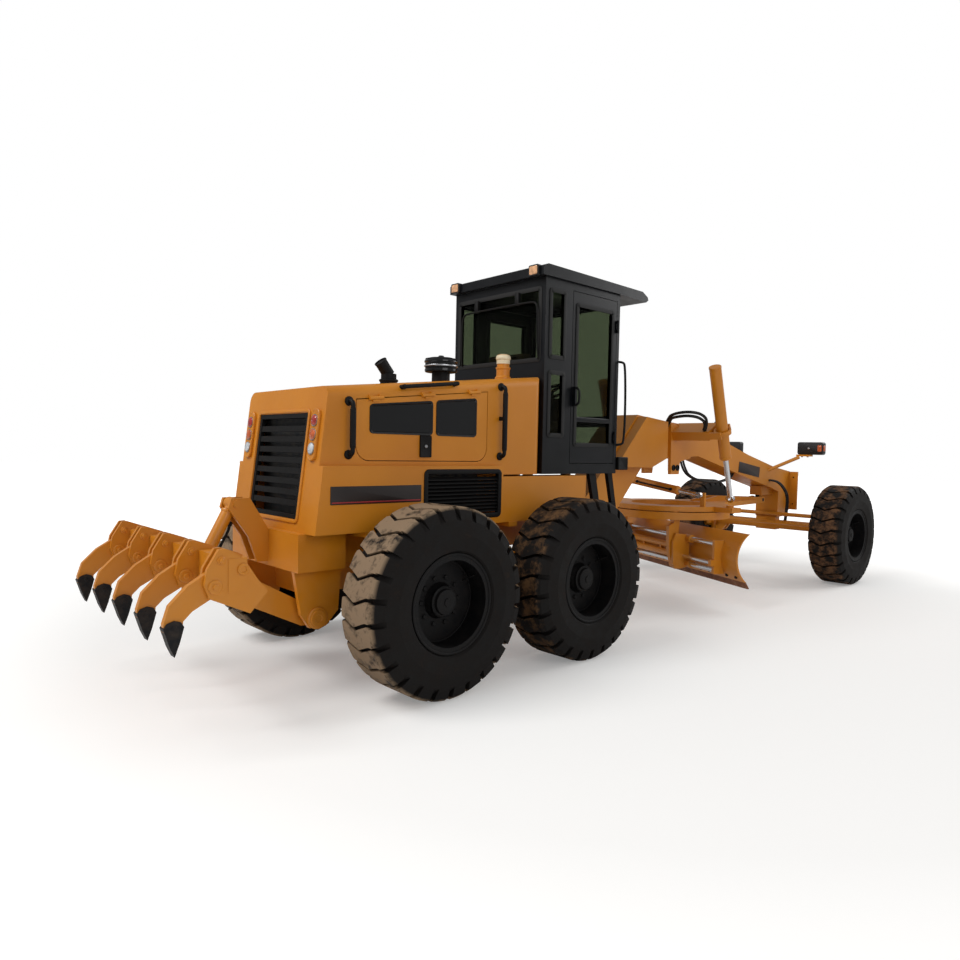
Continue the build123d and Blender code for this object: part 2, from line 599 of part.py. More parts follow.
# Lamps: tail lamps in the rear face and two work lamps on the roof's rear edge
with BuildPart() as lamps:
    for side in SIDES:
        rear_panel(45, 520, 880, 22, 0, centre=side * 512, corner=20)
        block((714, 738), side_span(side, 491, 591), (3320, 3410))
finish(lamps.part, "lamps")

# Hood fittings: exhaust stub and air precleaner on the hood top, grab rails and cab steps
RAIL_R = 16
STUB_X, CLEANER_X = -735, -214
with BuildPart() as hood_fittings:
    stub_z = hood_top_z(STUB_X)
    bar((STUB_X, FITTING_Y, stub_z - 5), (STUB_X, FITTING_Y, stub_z + 75), 60)
    bar((STUB_X, FITTING_Y, stub_z + 70), (STUB_X - 75, FITTING_Y, stub_z + 160), 48)
    cleaner_z = hood_top_z(CLEANER_X)
    bar((CLEANER_X, FITTING_Y, cleaner_z - 10), (CLEANER_X, FITTING_Y, cleaner_z + 80), 75)
    bar((CLEANER_X, FITTING_Y, cleaner_z + 76), (CLEANER_X, FITTING_Y, cleaner_z + 185), 130)
    for side in SIDES:
        y_wall, y_rail = side * HOOD_HALF, side * (HOOD_HALF + 60)
        rod_path([(-1225, y_wall, 1700), (-1225, y_rail, 1700), (-1225, y_rail, 2080), (-1225, y_wall, 2080)],
                 RAIL_R, 30)
        rod_path([(270, y_wall, 1701), (270, y_rail, 1701), (270, y_rail, 2290), (270, y_wall, 2290)],
                 RAIL_R, 30)
    add(hood.part, mode=Mode.SUBTRACT)
finish(hood_fittings.part, "hood_fittings")

with BuildPart() as cab_steps:
    for side in SIDES:
        inner, outer = side_span(side, 560, 600)
        plate_y([(1500, 1545), (1600, 1545), (1800, 700), (1740, 700)], inner, outer)
        plate_y([(1790, 1545), (1860, 1545), (2060, 700), (2010, 700)], inner, outer)
        for x, z in ((1640, 1230), (1700, 960), (1760, 720)):
            block((x, x + 240), side_span(side, 540, 640), (z, z + 22))
finish(cab_steps.part, "cab_steps")

# Front frame: gooseneck, widened neck box, tapering beam, nose plate, saddle and lamp arms
def neck_x(share):
    """X at a share of the way from the hitch to the saddle."""
    return HITCH_X + share * (SADDLE_X - HITCH_X)


neck = [(HITCH_X, HITCH_LOW), (HITCH_X + 140, HITCH_LOW), (HITCH_X + 210, 900), (neck_x(0.296), 900),
        (neck_x(0.656), 1600), (neck_x(0.873), 1690), (SADDLE_X + 560, 1730), (WHEELBASE - 1000, 1440),
        (WHEELBASE - 320, 1300), (WHEELBASE - 50, 1230), (WHEELBASE - 50, 850), (WHEELBASE + 100, 850),
        (NOSE_X, 950), (NOSE_X, 1520), (WHEELBASE - 200, 1590), (WHEELBASE - 1000, 1760),
        (SADDLE_X + 560, 2090), (neck_x(0.82), 2150), (neck_x(0.593), 2190), (HITCH_X + 212, HITCH_TOP),
        (HITCH_X, HITCH_TOP)]
neck_box = [(neck_x(0.307), 1600), (neck_x(0.593), 2165), (neck_x(0.82), 2125), (neck_x(0.82), 1700),
            (neck_x(0.656), 1590)]
saddle_cheek = [(SADDLE_X - 140, 2110), (SADDLE_X - 120, 1505), (SADDLE_X + 60, 1505), (SADDLE_X + 75, 1660),
                (SADDLE_X + 310, 1700), (SADDLE_X + 310, 2110)]
SHIFT_ANCHOR = (SADDLE_X + 160, 620, 1420)
NOSE_BOLT_Y, NOSE_BOLT_Z, NOSE_BOLT_MID_Z, NOSE_BOLT_R = 460, 400, 1235, 13
NOSE_PLATE = 30
LAMP_X, LAMP_LOW, LAMP_HIGH = WHEELBASE - 20, 1780, 1960

# Drawbar frame: it points from the circle's centre to the ball, so the parts on it are modelled square
drawbar_swing = asin(-CIRCLE_Y / hypot(BALL_X - CIRCLE_X, CIRCLE_Y))
DRAWBAR_FRAME = Plane(origin=(BALL_X, 0, 0), x_dir=(cos(drawbar_swing), sin(drawbar_swing), 0),
                      z_dir=WORLD_UP)
CIRCLE_BACK = hypot(BALL_X - CIRCLE_X, CIRCLE_Y)
yaw = radians(BLADE_YAW)
BLADE_FRAME = Plane(origin=(CIRCLE_X, CIRCLE_Y, 0), x_dir=(cos(yaw), -sin(yaw), 0), z_dir=WORLD_UP)

# Lift cylinders: each hangs in a ring that swings in the saddle's ears
BARREL_R, BARREL_BORE = 65, 45
RING_R, RING_BORE, RING_HALF = 96, 76, 26
EAR = (100, 125)
TRUNNION_R = 20


def lift_line(side):
    """Saddle point, rod eye, and the directions of the rod, the swing axis and the pitch axis."""
    saddle = Vector(SADDLE_X, side * SADDLE_Y, SADDLE_Z)
    eye = DRAWBAR_FRAME.from_local_coords(Vector(-LIFT_LUG_BACK, side * LIFT_LUG_Y, LIFT_EYE_Z))
    down = (eye - saddle).normalized()
    swing_axis = Vector(0, 1, 0).cross(down).normalized()
    pitch_axis = down.cross(swing_axis).normalized()
    return saddle, eye, down, swing_axis, pitch_axis


def saddle_arm(side):
    """The arm on one side of the saddle with the two ears that hold the ring's pins."""
    saddle, eye, down, swing_axis, pitch_axis = lift_line(side)
    section_plane = Plane(origin=(SADDLE_X, side * BEAM_HALF, SADDLE_Z), x_dir=swing_axis, z_dir=(0, side, 0))
    with BuildSketch(section_plane) as arm:
        Rectangle(2 * EAR[1], 110)
    extrude(arm.sketch, amount=SADDLE_Y - RING_R - 12 - BEAM_HALF)
    with BuildSketch(section_plane) as ears:
        for end in (-1, 1):
            with Locations((end * (EAR[0] + EAR[1]) / 2, 0)):
                Rectangle(EAR[1] - EAR[0], 80)
    extrude(ears.sketch, amount=SADDLE_Y + 40 - BEAM_HALF)
    start, stop = saddle - swing_axis * (EAR[1] + 5), saddle + swing_axis * (EAR[1] + 5)
    bar(tuple(start), tuple(stop), TRUNNION_R + RUNNING_GAP, Mode.SUBTRACT)

with BuildPart() as front_frame:
    plate_y(neck, -BEAM_HALF, BEAM_HALF)
    bar((HITCH_X, 0, HITCH_LOW), (HITCH_X, 0, HITCH_TOP), HITCH_HUB_R)
    block((HITCH_X - 200, HITCH_X), (-BEAM_HALF, BEAM_HALF), (HITCH_LOW, HITCH_TOP), Mode.SUBTRACT)
    bar((HITCH_X, 0, HITCH_LOW), (HITCH_X, 0, HITCH_TOP), HITCH_HUB_R)
    bar((HITCH_X, 0, HITCH_LOW), (HITCH_X, 0, HITCH_TOP), HITCH_PIN_R + RUNNING_GAP, Mode.SUBTRACT)
    plate_y(neck_box, -NECK_BOX_HALF, NECK_BOX_HALF)
    block((NOSE_X - NOSE_PLATE, NOSE_X), (-290, 290), (950, 1520))
    for y in (-NOSE_BOLT_Y / 2, NOSE_BOLT_Y / 2):
        for z in (NOSE_BOLT_MID_Z - NOSE_BOLT_Z / 2, NOSE_BOLT_MID_Z + NOSE_BOLT_Z / 2):
            bar((NOSE_X - NOSE_PLATE - 10, y, z), (NOSE_X + 10, y, z), NOSE_BOLT_R, Mode.SUBTRACT)
    for side in SIDES:
        plate_y(saddle_cheek, *side_span(side, BEAM_HALF, BEAM_HALF + 40))
        saddle_arm(side)
        bar((WHEELBASE - 380, side * 150, 1540), (LAMP_X - 80, side * 480, LAMP_LOW - 38), 24)
        block((LAMP_X - 100, LAMP_X), side_span(side, 445, 640), (LAMP_LOW - 25, LAMP_LOW))
    block((BALL_X - 60, WHEELBASE - 50), (-90, 90), (BALL_Z + 70, 1310))
    bar((BALL_X, 0, BALL_Z + 70), (BALL_X, 0, 1310), 30 + RUNNING_GAP, Mode.SUBTRACT)
    anchor_x, anchor_y, anchor_z = SHIFT_ANCHOR
    anchor_arm = [(BEAM_HALF, 1720), (BEAM_HALF, 1900), (anchor_y - 60, 1700), (anchor_y + 38, 1600),
                  (anchor_y + 38, anchor_z - 20), (anchor_y + 20, anchor_z - 38), (anchor_y - 20, anchor_z - 38),
                  (anchor_y - 38, anchor_z - 20), (anchor_y - 38, 1550), (anchor_y - 120, 1620)]
    for low in (anchor_x - 62, anchor_x + 36):
        plate_x(anchor_arm, low, low + 26)
    bar((anchor_x - 62, anchor_y, anchor_z), (anchor_x + 62, anchor_y, anchor_z), 20)
finish(front_frame.part, "front_frame")

# Headlamps: two black boxes on the lamp arms
with BuildPart() as headlamps:
    for side in SIDES:
        block((LAMP_X - 55, LAMP_X + 55), side_span(side, 440, 800), (LAMP_LOW, LAMP_HIGH))
finish(headlamps.part, "headlamps")

# Front axle: beam under the nose, with ears for the lean pins
LEAN_PIN_R = 25
AXLE_X = (WHEELBASE - 65, WHEELBASE + 65)
with BuildPart() as front_axle:
    block(AXLE_X, (-700, 700), (680, 800))
    block(AXLE_X, (-150, 150), (660, 850))
    for side in SIDES:
        ear = [(side * 640, 660), (side * 700, 800), (side * 760, 675), (side * 760, 565), (side * 690, 590)]
        for x_span in ((AXLE_X[0], AXLE_X[0] + 30), (AXLE_X[1] - 30, AXLE_X[1])):
            plate_x(ear, *x_span)
            bar((x_span[0], side * LEAN_Y, LEAN_Z), (x_span[1], side * LEAN_Y, LEAN_Z), 55)
        bar((AXLE_X[0], side * LEAN_Y, LEAN_Z), (AXLE_X[1], side * LEAN_Y, LEAN_Z), LEAN_PIN_R)
finish(front_axle.part, "front_axle")

# Leaning yokes, each with its kingpin, and the steered knuckles between their arms
KNUCKLE_R = 58
YOKE_HALF = 28
BOSS_R = 45
BOSS_LOW, BOSS_HIGH = (520, 560), (800, 840)
TIE_Z = 778
TIE_ROD_R = 22
TIE_ARM = (680, 720)
STUD_R = 15
tie_x = WHEELBASE - STEER_ARM
for side in SIDES:
    x_mid, pin_y = WHEELBASE, side * KINGPIN_Y
    with BuildPart() as yoke:
        web = [(side * 768, 540), (side * 804, 540), (side * 804, 840), (side * 785, 925), (side * 735, 925),
               (side * 735, 870), (side * 768, 830)]
        plate_x(web, x_mid - YOKE_HALF, x_mid + YOKE_HALF)
        bar((x_mid - YOKE_HALF, side * LEAN_Y, LEAN_Z), (x_mid + YOKE_HALF, side * LEAN_Y, LEAN_Z), 50)
        for low, high in (BOSS_LOW, BOSS_HIGH):
            block((x_mid - YOKE_HALF, x_mid + YOKE_HALF), side_span(side, 785, KINGPIN_Y), (low, high))
            bar((x_mid, pin_y, low), (x_mid, pin_y, high), BOSS_R)
        bar((x_mid, pin_y, BOSS_LOW[0]), (x_mid, pin_y, BOSS_HIGH[1]), KINGPIN_R)
        bar((x_mid - YOKE_HALF, side * LEAN_Y, LEAN_BAR_Z), (LEAN_BAR_X - 22, side * LEAN_Y, LEAN_BAR_Z), 20)
        bar((x_mid - YOKE_HALF - 5, side * LEAN_Y, LEAN_Z), (x_mid + YOKE_HALF + 5, side * LEAN_Y, LEAN_Z),
            LEAN_PIN_R + RUNNING_GAP, Mode.SUBTRACT)
    finish(yoke.part, f"lean_yoke_{side_name(side)}")
    with BuildPart() as knuckle:
        bar((x_mid, pin_y, BOSS_LOW[1] + 5), (x_mid, pin_y, BOSS_HIGH[0] - 5), KNUCKLE_R)
        bar((x_mid, pin_y, AXLE_Z), (x_mid, side * SPINDLE_END_Y, AXLE_Z), SPINDLE_R)
        block((tie_x, x_mid), side_span(side, KINGPIN_Y - 20, KINGPIN_Y + 20), TIE_ARM)
        bar((tie_x, pin_y, TIE_ARM[0]), (tie_x, pin_y, TIE_ARM[1]), 32)
        bar((tie_x, pin_y, TIE_ARM[0] - 5), (tie_x, pin_y, TIE_ARM[1] + 5), STUD_R + RUNNING_GAP, Mode.SUBTRACT)
        bar((x_mid, pin_y, BOSS_LOW[0]), (x_mid, pin_y, BOSS_HIGH[1]), KINGPIN_R + RUNNING_GAP, Mode.SUBTRACT)
    finish(knuckle.part, f"knuckle_{side_name(side)}")

with BuildPart() as lean_bar:
    bar((LEAN_BAR_X, -LEAN_Y, LEAN_BAR_Z), (LEAN_BAR_X, LEAN_Y, LEAN_BAR_Z), 28)
    for side in SIDES:
        bar((LEAN_BAR_X - 24, side * LEAN_Y, LEAN_BAR_Z), (LEAN_BAR_X + 24, side * LEAN_Y, LEAN_BAR_Z), 34)
    for side in SIDES:
        bar((LEAN_BAR_X - 34, side * LEAN_Y, LEAN_BAR_Z), (LEAN_BAR_X + 34, side * LEAN_Y, LEAN_BAR_Z),
            20 + RUNNING_GAP, Mode.SUBTRACT)
finish(lean_bar.part, "lean_bar")

TIE_HEAD = 20
TIE_PIN_R = 10
TIE_CHEEK = 12
with BuildPart() as tie_rod_end:
    bar((tie_x, -KINGPIN_Y, TIE_ARM[0]), (tie_x, -KINGPIN_Y, TIE_Z), STUD_R)
    block((tie_x - TIE_HEAD, tie_x + TIE_HEAD), (-KINGPIN_Y - 18, -KINGPIN_Y + 18), (TIE_Z - 20, TIE_Z + 20))
    bar((tie_x - TIE_HEAD - TIE_CHEEK, -KINGPIN_Y, TIE_Z), (tie_x + TIE_HEAD + TIE_CHEEK, -KINGPIN_Y, TIE_Z),
        TIE_PIN_R)
finish(tie_rod_end.part, "tie_rod_end")

with BuildPart() as tie_rod:
    bar((tie_x, -KINGPIN_Y + 40, TIE_Z), (tie_x, KINGPIN_Y + 15, TIE_Z), TIE_ROD_R)
    block((tie_x - TIE_HEAD - TIE_CHEEK, tie_x + TIE_HEAD + TIE_CHEEK), (-KINGPIN_Y - 20, -KINGPIN_Y + 55),
          (TIE_Z - 20, TIE_Z + 20))
    block((tie_x - TIE_HEAD - RUNNING_GAP, tie_x + TIE_HEAD + RUNNING_GAP), (-KINGPIN_Y - 30, -KINGPIN_Y + 30),
          (TIE_Z - 30, TIE_Z + 30), Mode.SUBTRACT)
    bar((tie_x - 50, -KINGPIN_Y, TIE_Z), (tie_x + 50, -KINGPIN_Y, TIE_Z), TIE_PIN_R + RUNNING_GAP, Mode.SUBTRACT)
finish(tie_rod.part, "tie_rod")

# Lift cylinders
LIFT_ABOVE, LIFT_BELOW = 800, 350
GLAND = 60
LIFT_ROD_R = 30
EYE_R, EYE_HALF = 50, 22
PISTON = (-420, -360)
for side in SIDES:
    saddle, eye, down, swing_axis, pitch_axis = lift_line(side)

    def on_line(distance):
        return tuple(saddle + down * distance)

    with BuildPart() as lift_ring:
        bar(on_line(-RING_HALF), on_line(RING_HALF), RING_R)
        bar(tuple(saddle - swing_axis * EAR[1]), tuple(saddle + swing_axis * EAR[1]), TRUNNION_R)
        bar(on_line(-RING_HALF - 5), on_line(RING_HALF + 5), RING_BORE, Mode.SUBTRACT)
        bar(tuple(saddle - pitch_axis * RING_R), tuple(saddle + pitch_axis * RING_R),
            TRUNNION_R + RUNNING_GAP, Mode.SUBTRACT)
    finish(lift_ring.part, f"lift_ring_{side_name(side)}")
    with BuildPart() as lift_barrel:
        bar(on_line(-LIFT_ABOVE), on_line(LIFT_BELOW), BARREL_R)
        bar(tuple(saddle - pitch_axis * (RING_R - 2)), tuple(saddle + pitch_axis * (RING_R - 2)), TRUNNION_R)
        bar(on_line(-LIFT_ABOVE + 30), on_line(LIFT_BELOW - GLAND), BARREL_BORE, Mode.SUBTRACT)
        bar(on_line(0), on_line(LIFT_BELOW + 5), LIFT_ROD_R + RUNNING_GAP, Mode.SUBTRACT)
    finish(lift_barrel.part, f"lift_barrel_{side_name(side)}")
    with BuildPart() as lift_rod:
        reach = (eye - saddle).length
        bar(on_line(PISTON[0]), on_line(reach), LIFT_ROD_R)
        bar(on_line(PISTON[0]), on_line(PISTON[1]), BARREL_BORE - RUNNING_GAP)
        bar(tuple(eye - swing_axis * EYE_HALF), tuple(eye + swing_axis * EYE_HALF), EYE_R)
        bar(tuple(eye - swing_axis * 2 * EYE_HALF), tuple(eye + swing_axis * 2 * EYE_HALF), 20, Mode.SUBTRACT)
    finish(lift_rod.part, f"lift_rod_{side_name(side)}")

# Centre-shift cylinder, from the saddle's left arm to the drawbar's right side
SHIFT_LUG = (SHIFT_ANCHOR[0], -430, 1260)
SHIFT_BARREL_R, SHIFT_BORE, SHIFT_ROD_R = 52, 38, 25
SHIFT_BARREL_LENGTH = 780
with BuildPart() as shift_barrel:
    bar(along(SHIFT_ANCHOR, SHIFT_LUG, 72), along(SHIFT_ANCHOR, SHIFT_LUG, SHIFT_BARREL_LENGTH), SHIFT_BARREL_R)
    bar((SHIFT_ANCHOR[0] - 30, *SHIFT_ANCHOR[1:]), (SHIFT_ANCHOR[0] + 30, *SHIFT_ANCHOR[1:]), 38)
    bar(SHIFT_ANCHOR, along(SHIFT_ANCHOR, SHIFT_LUG, 80), 28)
    bar((SHIFT_ANCHOR[0] - 32, *SHIFT_ANCHOR[1:]), (SHIFT_ANCHOR[0] + 32, *SHIFT_ANCHOR[1:]), 20 + RUNNING_GAP,
        Mode.SUBTRACT)
    bar(along(SHIFT_ANCHOR, SHIFT_LUG, 84), along(SHIFT_ANCHOR, SHIFT_LUG, SHIFT_BARREL_LENGTH - 50), SHIFT_BORE,
        Mode.SUBTRACT)
    bar(along(SHIFT_ANCHOR, SHIFT_LUG, 300), along(SHIFT_ANCHOR, SHIFT_LUG, SHIFT_BARREL_LENGTH + 5),
        SHIFT_ROD_R + RUNNING_GAP, Mode.SUBTRACT)
finish(shift_barrel.part, "centre_shift_barrel")

with BuildPart() as shift_rod:
    bar(along(SHIFT_ANCHOR, SHIFT_LUG, 216), SHIFT_LUG, SHIFT_ROD_R)
    bar(along(SHIFT_ANCHOR, SHIFT_LUG, 216), along(SHIFT_ANCHOR, SHIFT_LUG, 240), SHIFT_BORE - RUNNING_GAP)
    bar((SHIFT_LUG[0] - 22, *SHIFT_LUG[1:]), (SHIFT_LUG[0] + 22, *SHIFT_LUG[1:]), 38)
finish(shift_rod.part, "centre_shift_rod")

# Drawbar ball: a stud in the nose bracket, a ball and a cross pin
BALL_R = 52
BALL_PIN_R = 25
BALL_CHEEK = (60, 95)
with BuildPart() as drawbar_ball:
    bar((0, 0, BALL_Z), (0, 0, 1300), 30)
    with Locations((0, 0, BALL_Z)):
        Sphere(BALL_R)
    bar((0, -BALL_CHEEK[1], BALL_Z), (0, BALL_CHEEK[1], BALL_Z), BALL_PIN_R)
finish(DRAWBAR_FRAME.from_local_coords(drawbar_ball.part), "drawbar_ball")

# Drawbar: tongue with cheeks at the ball, ring plate over the circle, cross beam with lugs, wear pads
low_z, top_z = DRAWBAR_Z
PAD_R = 55
with BuildPart() as drawbar:
    tongue = [(-90, -80), (-1250, -330), (-CIRCLE_BACK, -700), (-CIRCLE_BACK, 700), (-1250, 330), (-90, 80)]
    plate_z(tongue, low_z, top_z)
    bar((-CIRCLE_BACK, 0, low_z), (-CIRCLE_BACK, 0, top_z), 740)
    bar((-CIRCLE_BACK, 0, low_z - 5), (-CIRCLE_BACK, 0, top_z + 5), 480, Mode.SUBTRACT)
    tongue_rib = [(-90, low_z), (-1450, low_z), (-1450, top_z + 20), (-1100, top_z + 70), (-90, top_z + 30)]
    for side in SIDES:
        plate_y(tongue_rib, *side_span(side, BALL_CHEEK[0], BALL_CHEEK[1]))
        plate_y([(-40, BALL_Z - 45), (-90, BALL_Z - 50), (-90, BALL_Z + 40), (-40, BALL_Z + 45)],
                *side_span(side, *BALL_CHEEK))
        bar((0, side * BALL_CHEEK[0], BALL_Z), (0, side * BALL_CHEEK[1], BALL_Z), 50)
        block((-60, 0), side_span(side, *BALL_CHEEK), (BALL_Z - 45, BALL_Z + 45))
        block((-LIFT_LUG_BACK - 90, -LIFT_LUG_BACK + 90), side_span(side, 520, LIFT_LUG_Y + 90), (low_z, top_z))
        eye_place = (-LIFT_LUG_BACK, side * LIFT_LUG_Y)
        bar((*eye_place, top_z), (*eye_place, top_z + LIFT_STUD), LIFT_STUD_R)
    block((-1290, -90), (-BALL_CHEEK[0], BALL_CHEEK[0]), (low_z, top_z - 20))
    block((-2244, -2216), (-704, -642), (top_z - 60, 1290))
    for side in SIDES:
        bar((0, side * (BALL_CHEEK[0] - 5), BALL_Z), (0, side * (BALL_CHEEK[1] + 5), BALL_Z),
            BALL_PIN_R + RUNNING_GAP, Mode.SUBTRACT)
    with Locations((-CIRCLE_BACK, 0, 0)):
        with PolarLocations(675, 4, start_angle=45):
            with Locations((0, 0, (CIRCLE_Z[1] + SEAT_GAP + low_z) / 2)):
                Cylinder(PAD_R, low_z - CIRCLE_Z[1] - SEAT_GAP)
finish(DRAWBAR_FRAME.from_local_coords(drawbar.part), "drawbar")

# Circle: the turning ring with the two arms that carry the blade, made in the blade's own frame
CIRCLE_BORE = 590
ARM_Y = (580, 640)
ARM_PIN_R = 25
ARM_OUTLINE = [(-330, CIRCLE_Z[0]), (-250, CIRCLE_Z[0]), (-255, 900), (-275, 700), (-260, TILT_Z + 30),
               (-270, TILT_Z - 45), (-330, TILT_Z - 45), (-390, 560), (-400, 880), (-330, 925)]
with BuildPart() as circle:
    bar((0, 0, CIRCLE_Z[0]), (0, 0, CIRCLE_Z[1]), CIRCLE_R)
    bar((0, 0, CIRCLE_Z[0] - 5), (0, 0, CIRCLE_Z[1] + 5), CIRCLE_BORE, Mode.SUBTRACT)
    for side in SIDES:
        plate_y(ARM_OUTLINE, *side_span(side, *ARM_Y))
        bar((TILT_X, side * ARM_Y[0], TILT_Z), (TILT_X, side * ARM_Y[1], TILT_Z), 50)
        bar((TILT_X, side * ARM_Y[0], TILT_Z), (TILT_X, side * (ARM_Y[1] + 54), TILT_Z), ARM_PIN_R)
finish(BLADE_FRAME.from_local_coords(circle.part), "circle")

# Blade carrier: two side plates hinged on the arm pins, sleeves for the blade's rails, side-shift barrel
CARRIER_Y = (ARM_Y[1] + 10, ARM_Y[1] + 50)
SLEEVE_Y = (ARM_Y[1] + 10, ARM_Y[1] + 130)
SLEEVE_R = 48
CROSS_TUBE = (-205, 625)
SHIFT_TUBE_R, SHIFT_TUBE_BORE, BLADE_ROD_R = 40, 28, 20
SHIFT_TUBE_Y = (-640, 500)
SHIFT_PISTON_Y = (-15, 15)
carrier_side = [(TILT_X - 60, TILT_Z), (TILT_X - 30, TILT_Z - 58), (TILT_X + 40, TILT_Z - 58),
                (RAIL_ROD_X, RAIL_ROD_Z[0] - 45), (RAIL_ROD_X + 20, RAIL_ROD_Z[0]),
                (RAIL_ROD_X + 20, RAIL_ROD_Z[1]), (RAIL_ROD_X - 20, RAIL_ROD_Z[1] + 45), (-330, 800), (-370, 700)]
with BuildPart() as blade_carrier:
    for side in SIDES:
        plate_y(carrier_side, *side_span(side, *CARRIER_Y))
        for z in RAIL_ROD_Z:
            bar((RAIL_ROD_X, side * SLEEVE_Y[0], z), (RAIL_ROD_X, side * SLEEVE_Y[1], z), SLEEVE_R)
    bar((CROSS_TUBE[0], -CARRIER_Y[0], CROSS_TUBE[1]), (CROSS_TUBE[0], CARRIER_Y[0], CROSS_TUBE[1]), 40)
    bar((SHIFT_X, SHIFT_TUBE_Y[0], SHIFT_Z), (SHIFT_X, SHIFT_TUBE_Y[1], SHIFT_Z), SHIFT_TUBE_R)
    for y in (-560, -200, 200):
        block((SHIFT_X - 15, SHIFT_X + 25), (y - 15, y + 15), (SHIFT_Z + 30, CROSS_TUBE[1] - 20))
    bar((SHIFT_X, SHIFT_TUBE_Y[0] + 50, SHIFT_Z), (SHIFT_X, SHIFT_TUBE_Y[1] - 20, SHIFT_Z), SHIFT_TUBE_BORE,
        Mode.SUBTRACT)
    bar((SHIFT_X, -CARRIER_Y[1] - 5, SHIFT_Z), (SHIFT_X, 0, SHIFT_Z), BLADE_ROD_R + RUNNING_GAP, Mode.SUBTRACT)
    for side in SIDES:
        bar((TILT_X, side * (CARRIER_Y[0] - 5), TILT_Z), (TILT_X, side * (CARRIER_Y[1] + 5), TILT_Z),
            ARM_PIN_R + RUNNING_GAP, Mode.SUBTRACT)
        for z in RAIL_ROD_Z:
            bar((RAIL_ROD_X, side * (SLEEVE_Y[0] - 5), z), (RAIL_ROD_X, side * (SLEEVE_Y[1] + 5), z),
                RAIL_ROD_R + RUNNING_GAP, Mode.SUBTRACT)
finish(BLADE_FRAME.from_local_coords(blade_carrier.part), "blade_carrier")

# Moldboard: a curved plate with end ribs, two rails and the side-shift rod on its back
BLADE_T = 22
blade_low, blade_high = BLADE_Z
EDGE_TOP = blade_low + 75
blade_right, blade_left = -BLADE_LENGTH / 2, BLADE_LENGTH / 2
FACE_TOP, FACE_MID, FACE_LOW = (62, blade_high), (-90, 600), (28, EDGE_TOP)
BACK_LOW = (28 - 24, EDGE_TOP)
BACK_MID = (FACE_MID[0] - BLADE_T, FACE_MID[1])
BACK_TOP = (44, blade_high)
RAIL_INSET = 290
RAIL_ENDS = (blade_right + RAIL_INSET, blade_left - RAIL_INSET)
ROD_LUG_Y = RAIL_ENDS[0]
with BuildPart() as moldboard:
    with BuildSketch(Plane.XZ.offset(-blade_right)) as blade_section:
        with BuildLine():
            ThreePointArc(FACE_TOP, FACE_MID, FACE_LOW)
            Line(FACE_LOW, BACK_LOW)
            ThreePointArc(BACK_LOW, BACK_MID, BACK_TOP)
            Line(BACK_TOP, FACE_TOP)
        make_face()
    extrude(blade_section.sketch, amount=-BLADE_LENGTH)
    for y in RAIL_ENDS:
        lug = [(RAIL_ROD_X - 40, 400), (-60, 400), (-105, 520), (-105, 660), (-70, 780), (RAIL_ROD_X - 40, 780)]
        plate_y(lug, y - 20, y + 20)
    for z in RAIL_ROD_Z:
        bar((RAIL_ROD_X, RAIL_ENDS[0], z), (RAIL_ROD_X, RAIL_ENDS[1], z), RAIL_ROD_R)
    rod_lug = [(SHIFT_X - 30, SHIFT_Z - 35), (-98, SHIFT_Z - 35), (-98, SHIFT_Z + 35), (SHIFT_X - 30, SHIFT_Z + 35)]
    plate_y(rod_lug, ROD_LUG_Y - 25, ROD_LUG_Y + 25)
    bar((SHIFT_X, ROD_LUG_Y, SHIFT_Z), (SHIFT_X, SHIFT_PISTON_Y[1], SHIFT_Z), BLADE_ROD_R)
    bar((SHIFT_X, SHIFT_PISTON_Y[0], SHIFT_Z), (SHIFT_X, SHIFT_PISTON_Y[1], SHIFT_Z), SHIFT_TUBE_BORE - RUNNING_GAP)
finish(BLADE_FRAME.from_local_coords(moldboard.part), "moldboard")

with BuildPart() as cutting_edge:
    edge = [(BACK_LOW[0], EDGE_TOP - SEAT_GAP), (FACE_LOW[0], EDGE_TOP - SEAT_GAP), (FACE_LOW[0] + 46, blade_low),
            (FACE_LOW[0] + 20, blade_low)]
    plate_y(edge, blade_right, blade_left)
finish(BLADE_FRAME.from_local_coords(cutting_edge.part), "cutting_edge")

# Ripper: beam with shank pockets, end plates and two arms to the pivot pin
HOLDER_REAR = [(-2262, 1147), (-2301, 1145), (-2368, 1036), (-2386, 943), (-2357, 862), (-2200, 815), (-2130, 880),
               (-2130, 1095), (-2160, 1110)]
END_PLATE = [(-2262, 1147), (-2301, 1145), (-2368, 1036), (-2386, 943), (-2357, 862), (-2107, 746), (-1997, 868),
             (-2067, 956), (-2151, 1084)]
SHANK_HALF = 20
BEAM_X, BEAM_Z = (-2245, -2130), (885, 1085)
shank_ys = [(number - (SHANK_COUNT - 1) / 2) * SHANK_PITCH for number in range(SHANK_COUNT)]
beam_half = shank_ys[-1] + SHANK_HALF + 30
ARM_IN, ARM_OUT = 330, 390
arm_outline = [(pivot_x + 20, pivot_z + 60), (pivot_x, pivot_z - 65), (pivot_x - 80, pivot_z - 60), (-2150, 800),
               (-2180, 890), (-2122, 1000), (-2040, 960)]
rod_x, rod_z = RIPPER_ROD_PIN
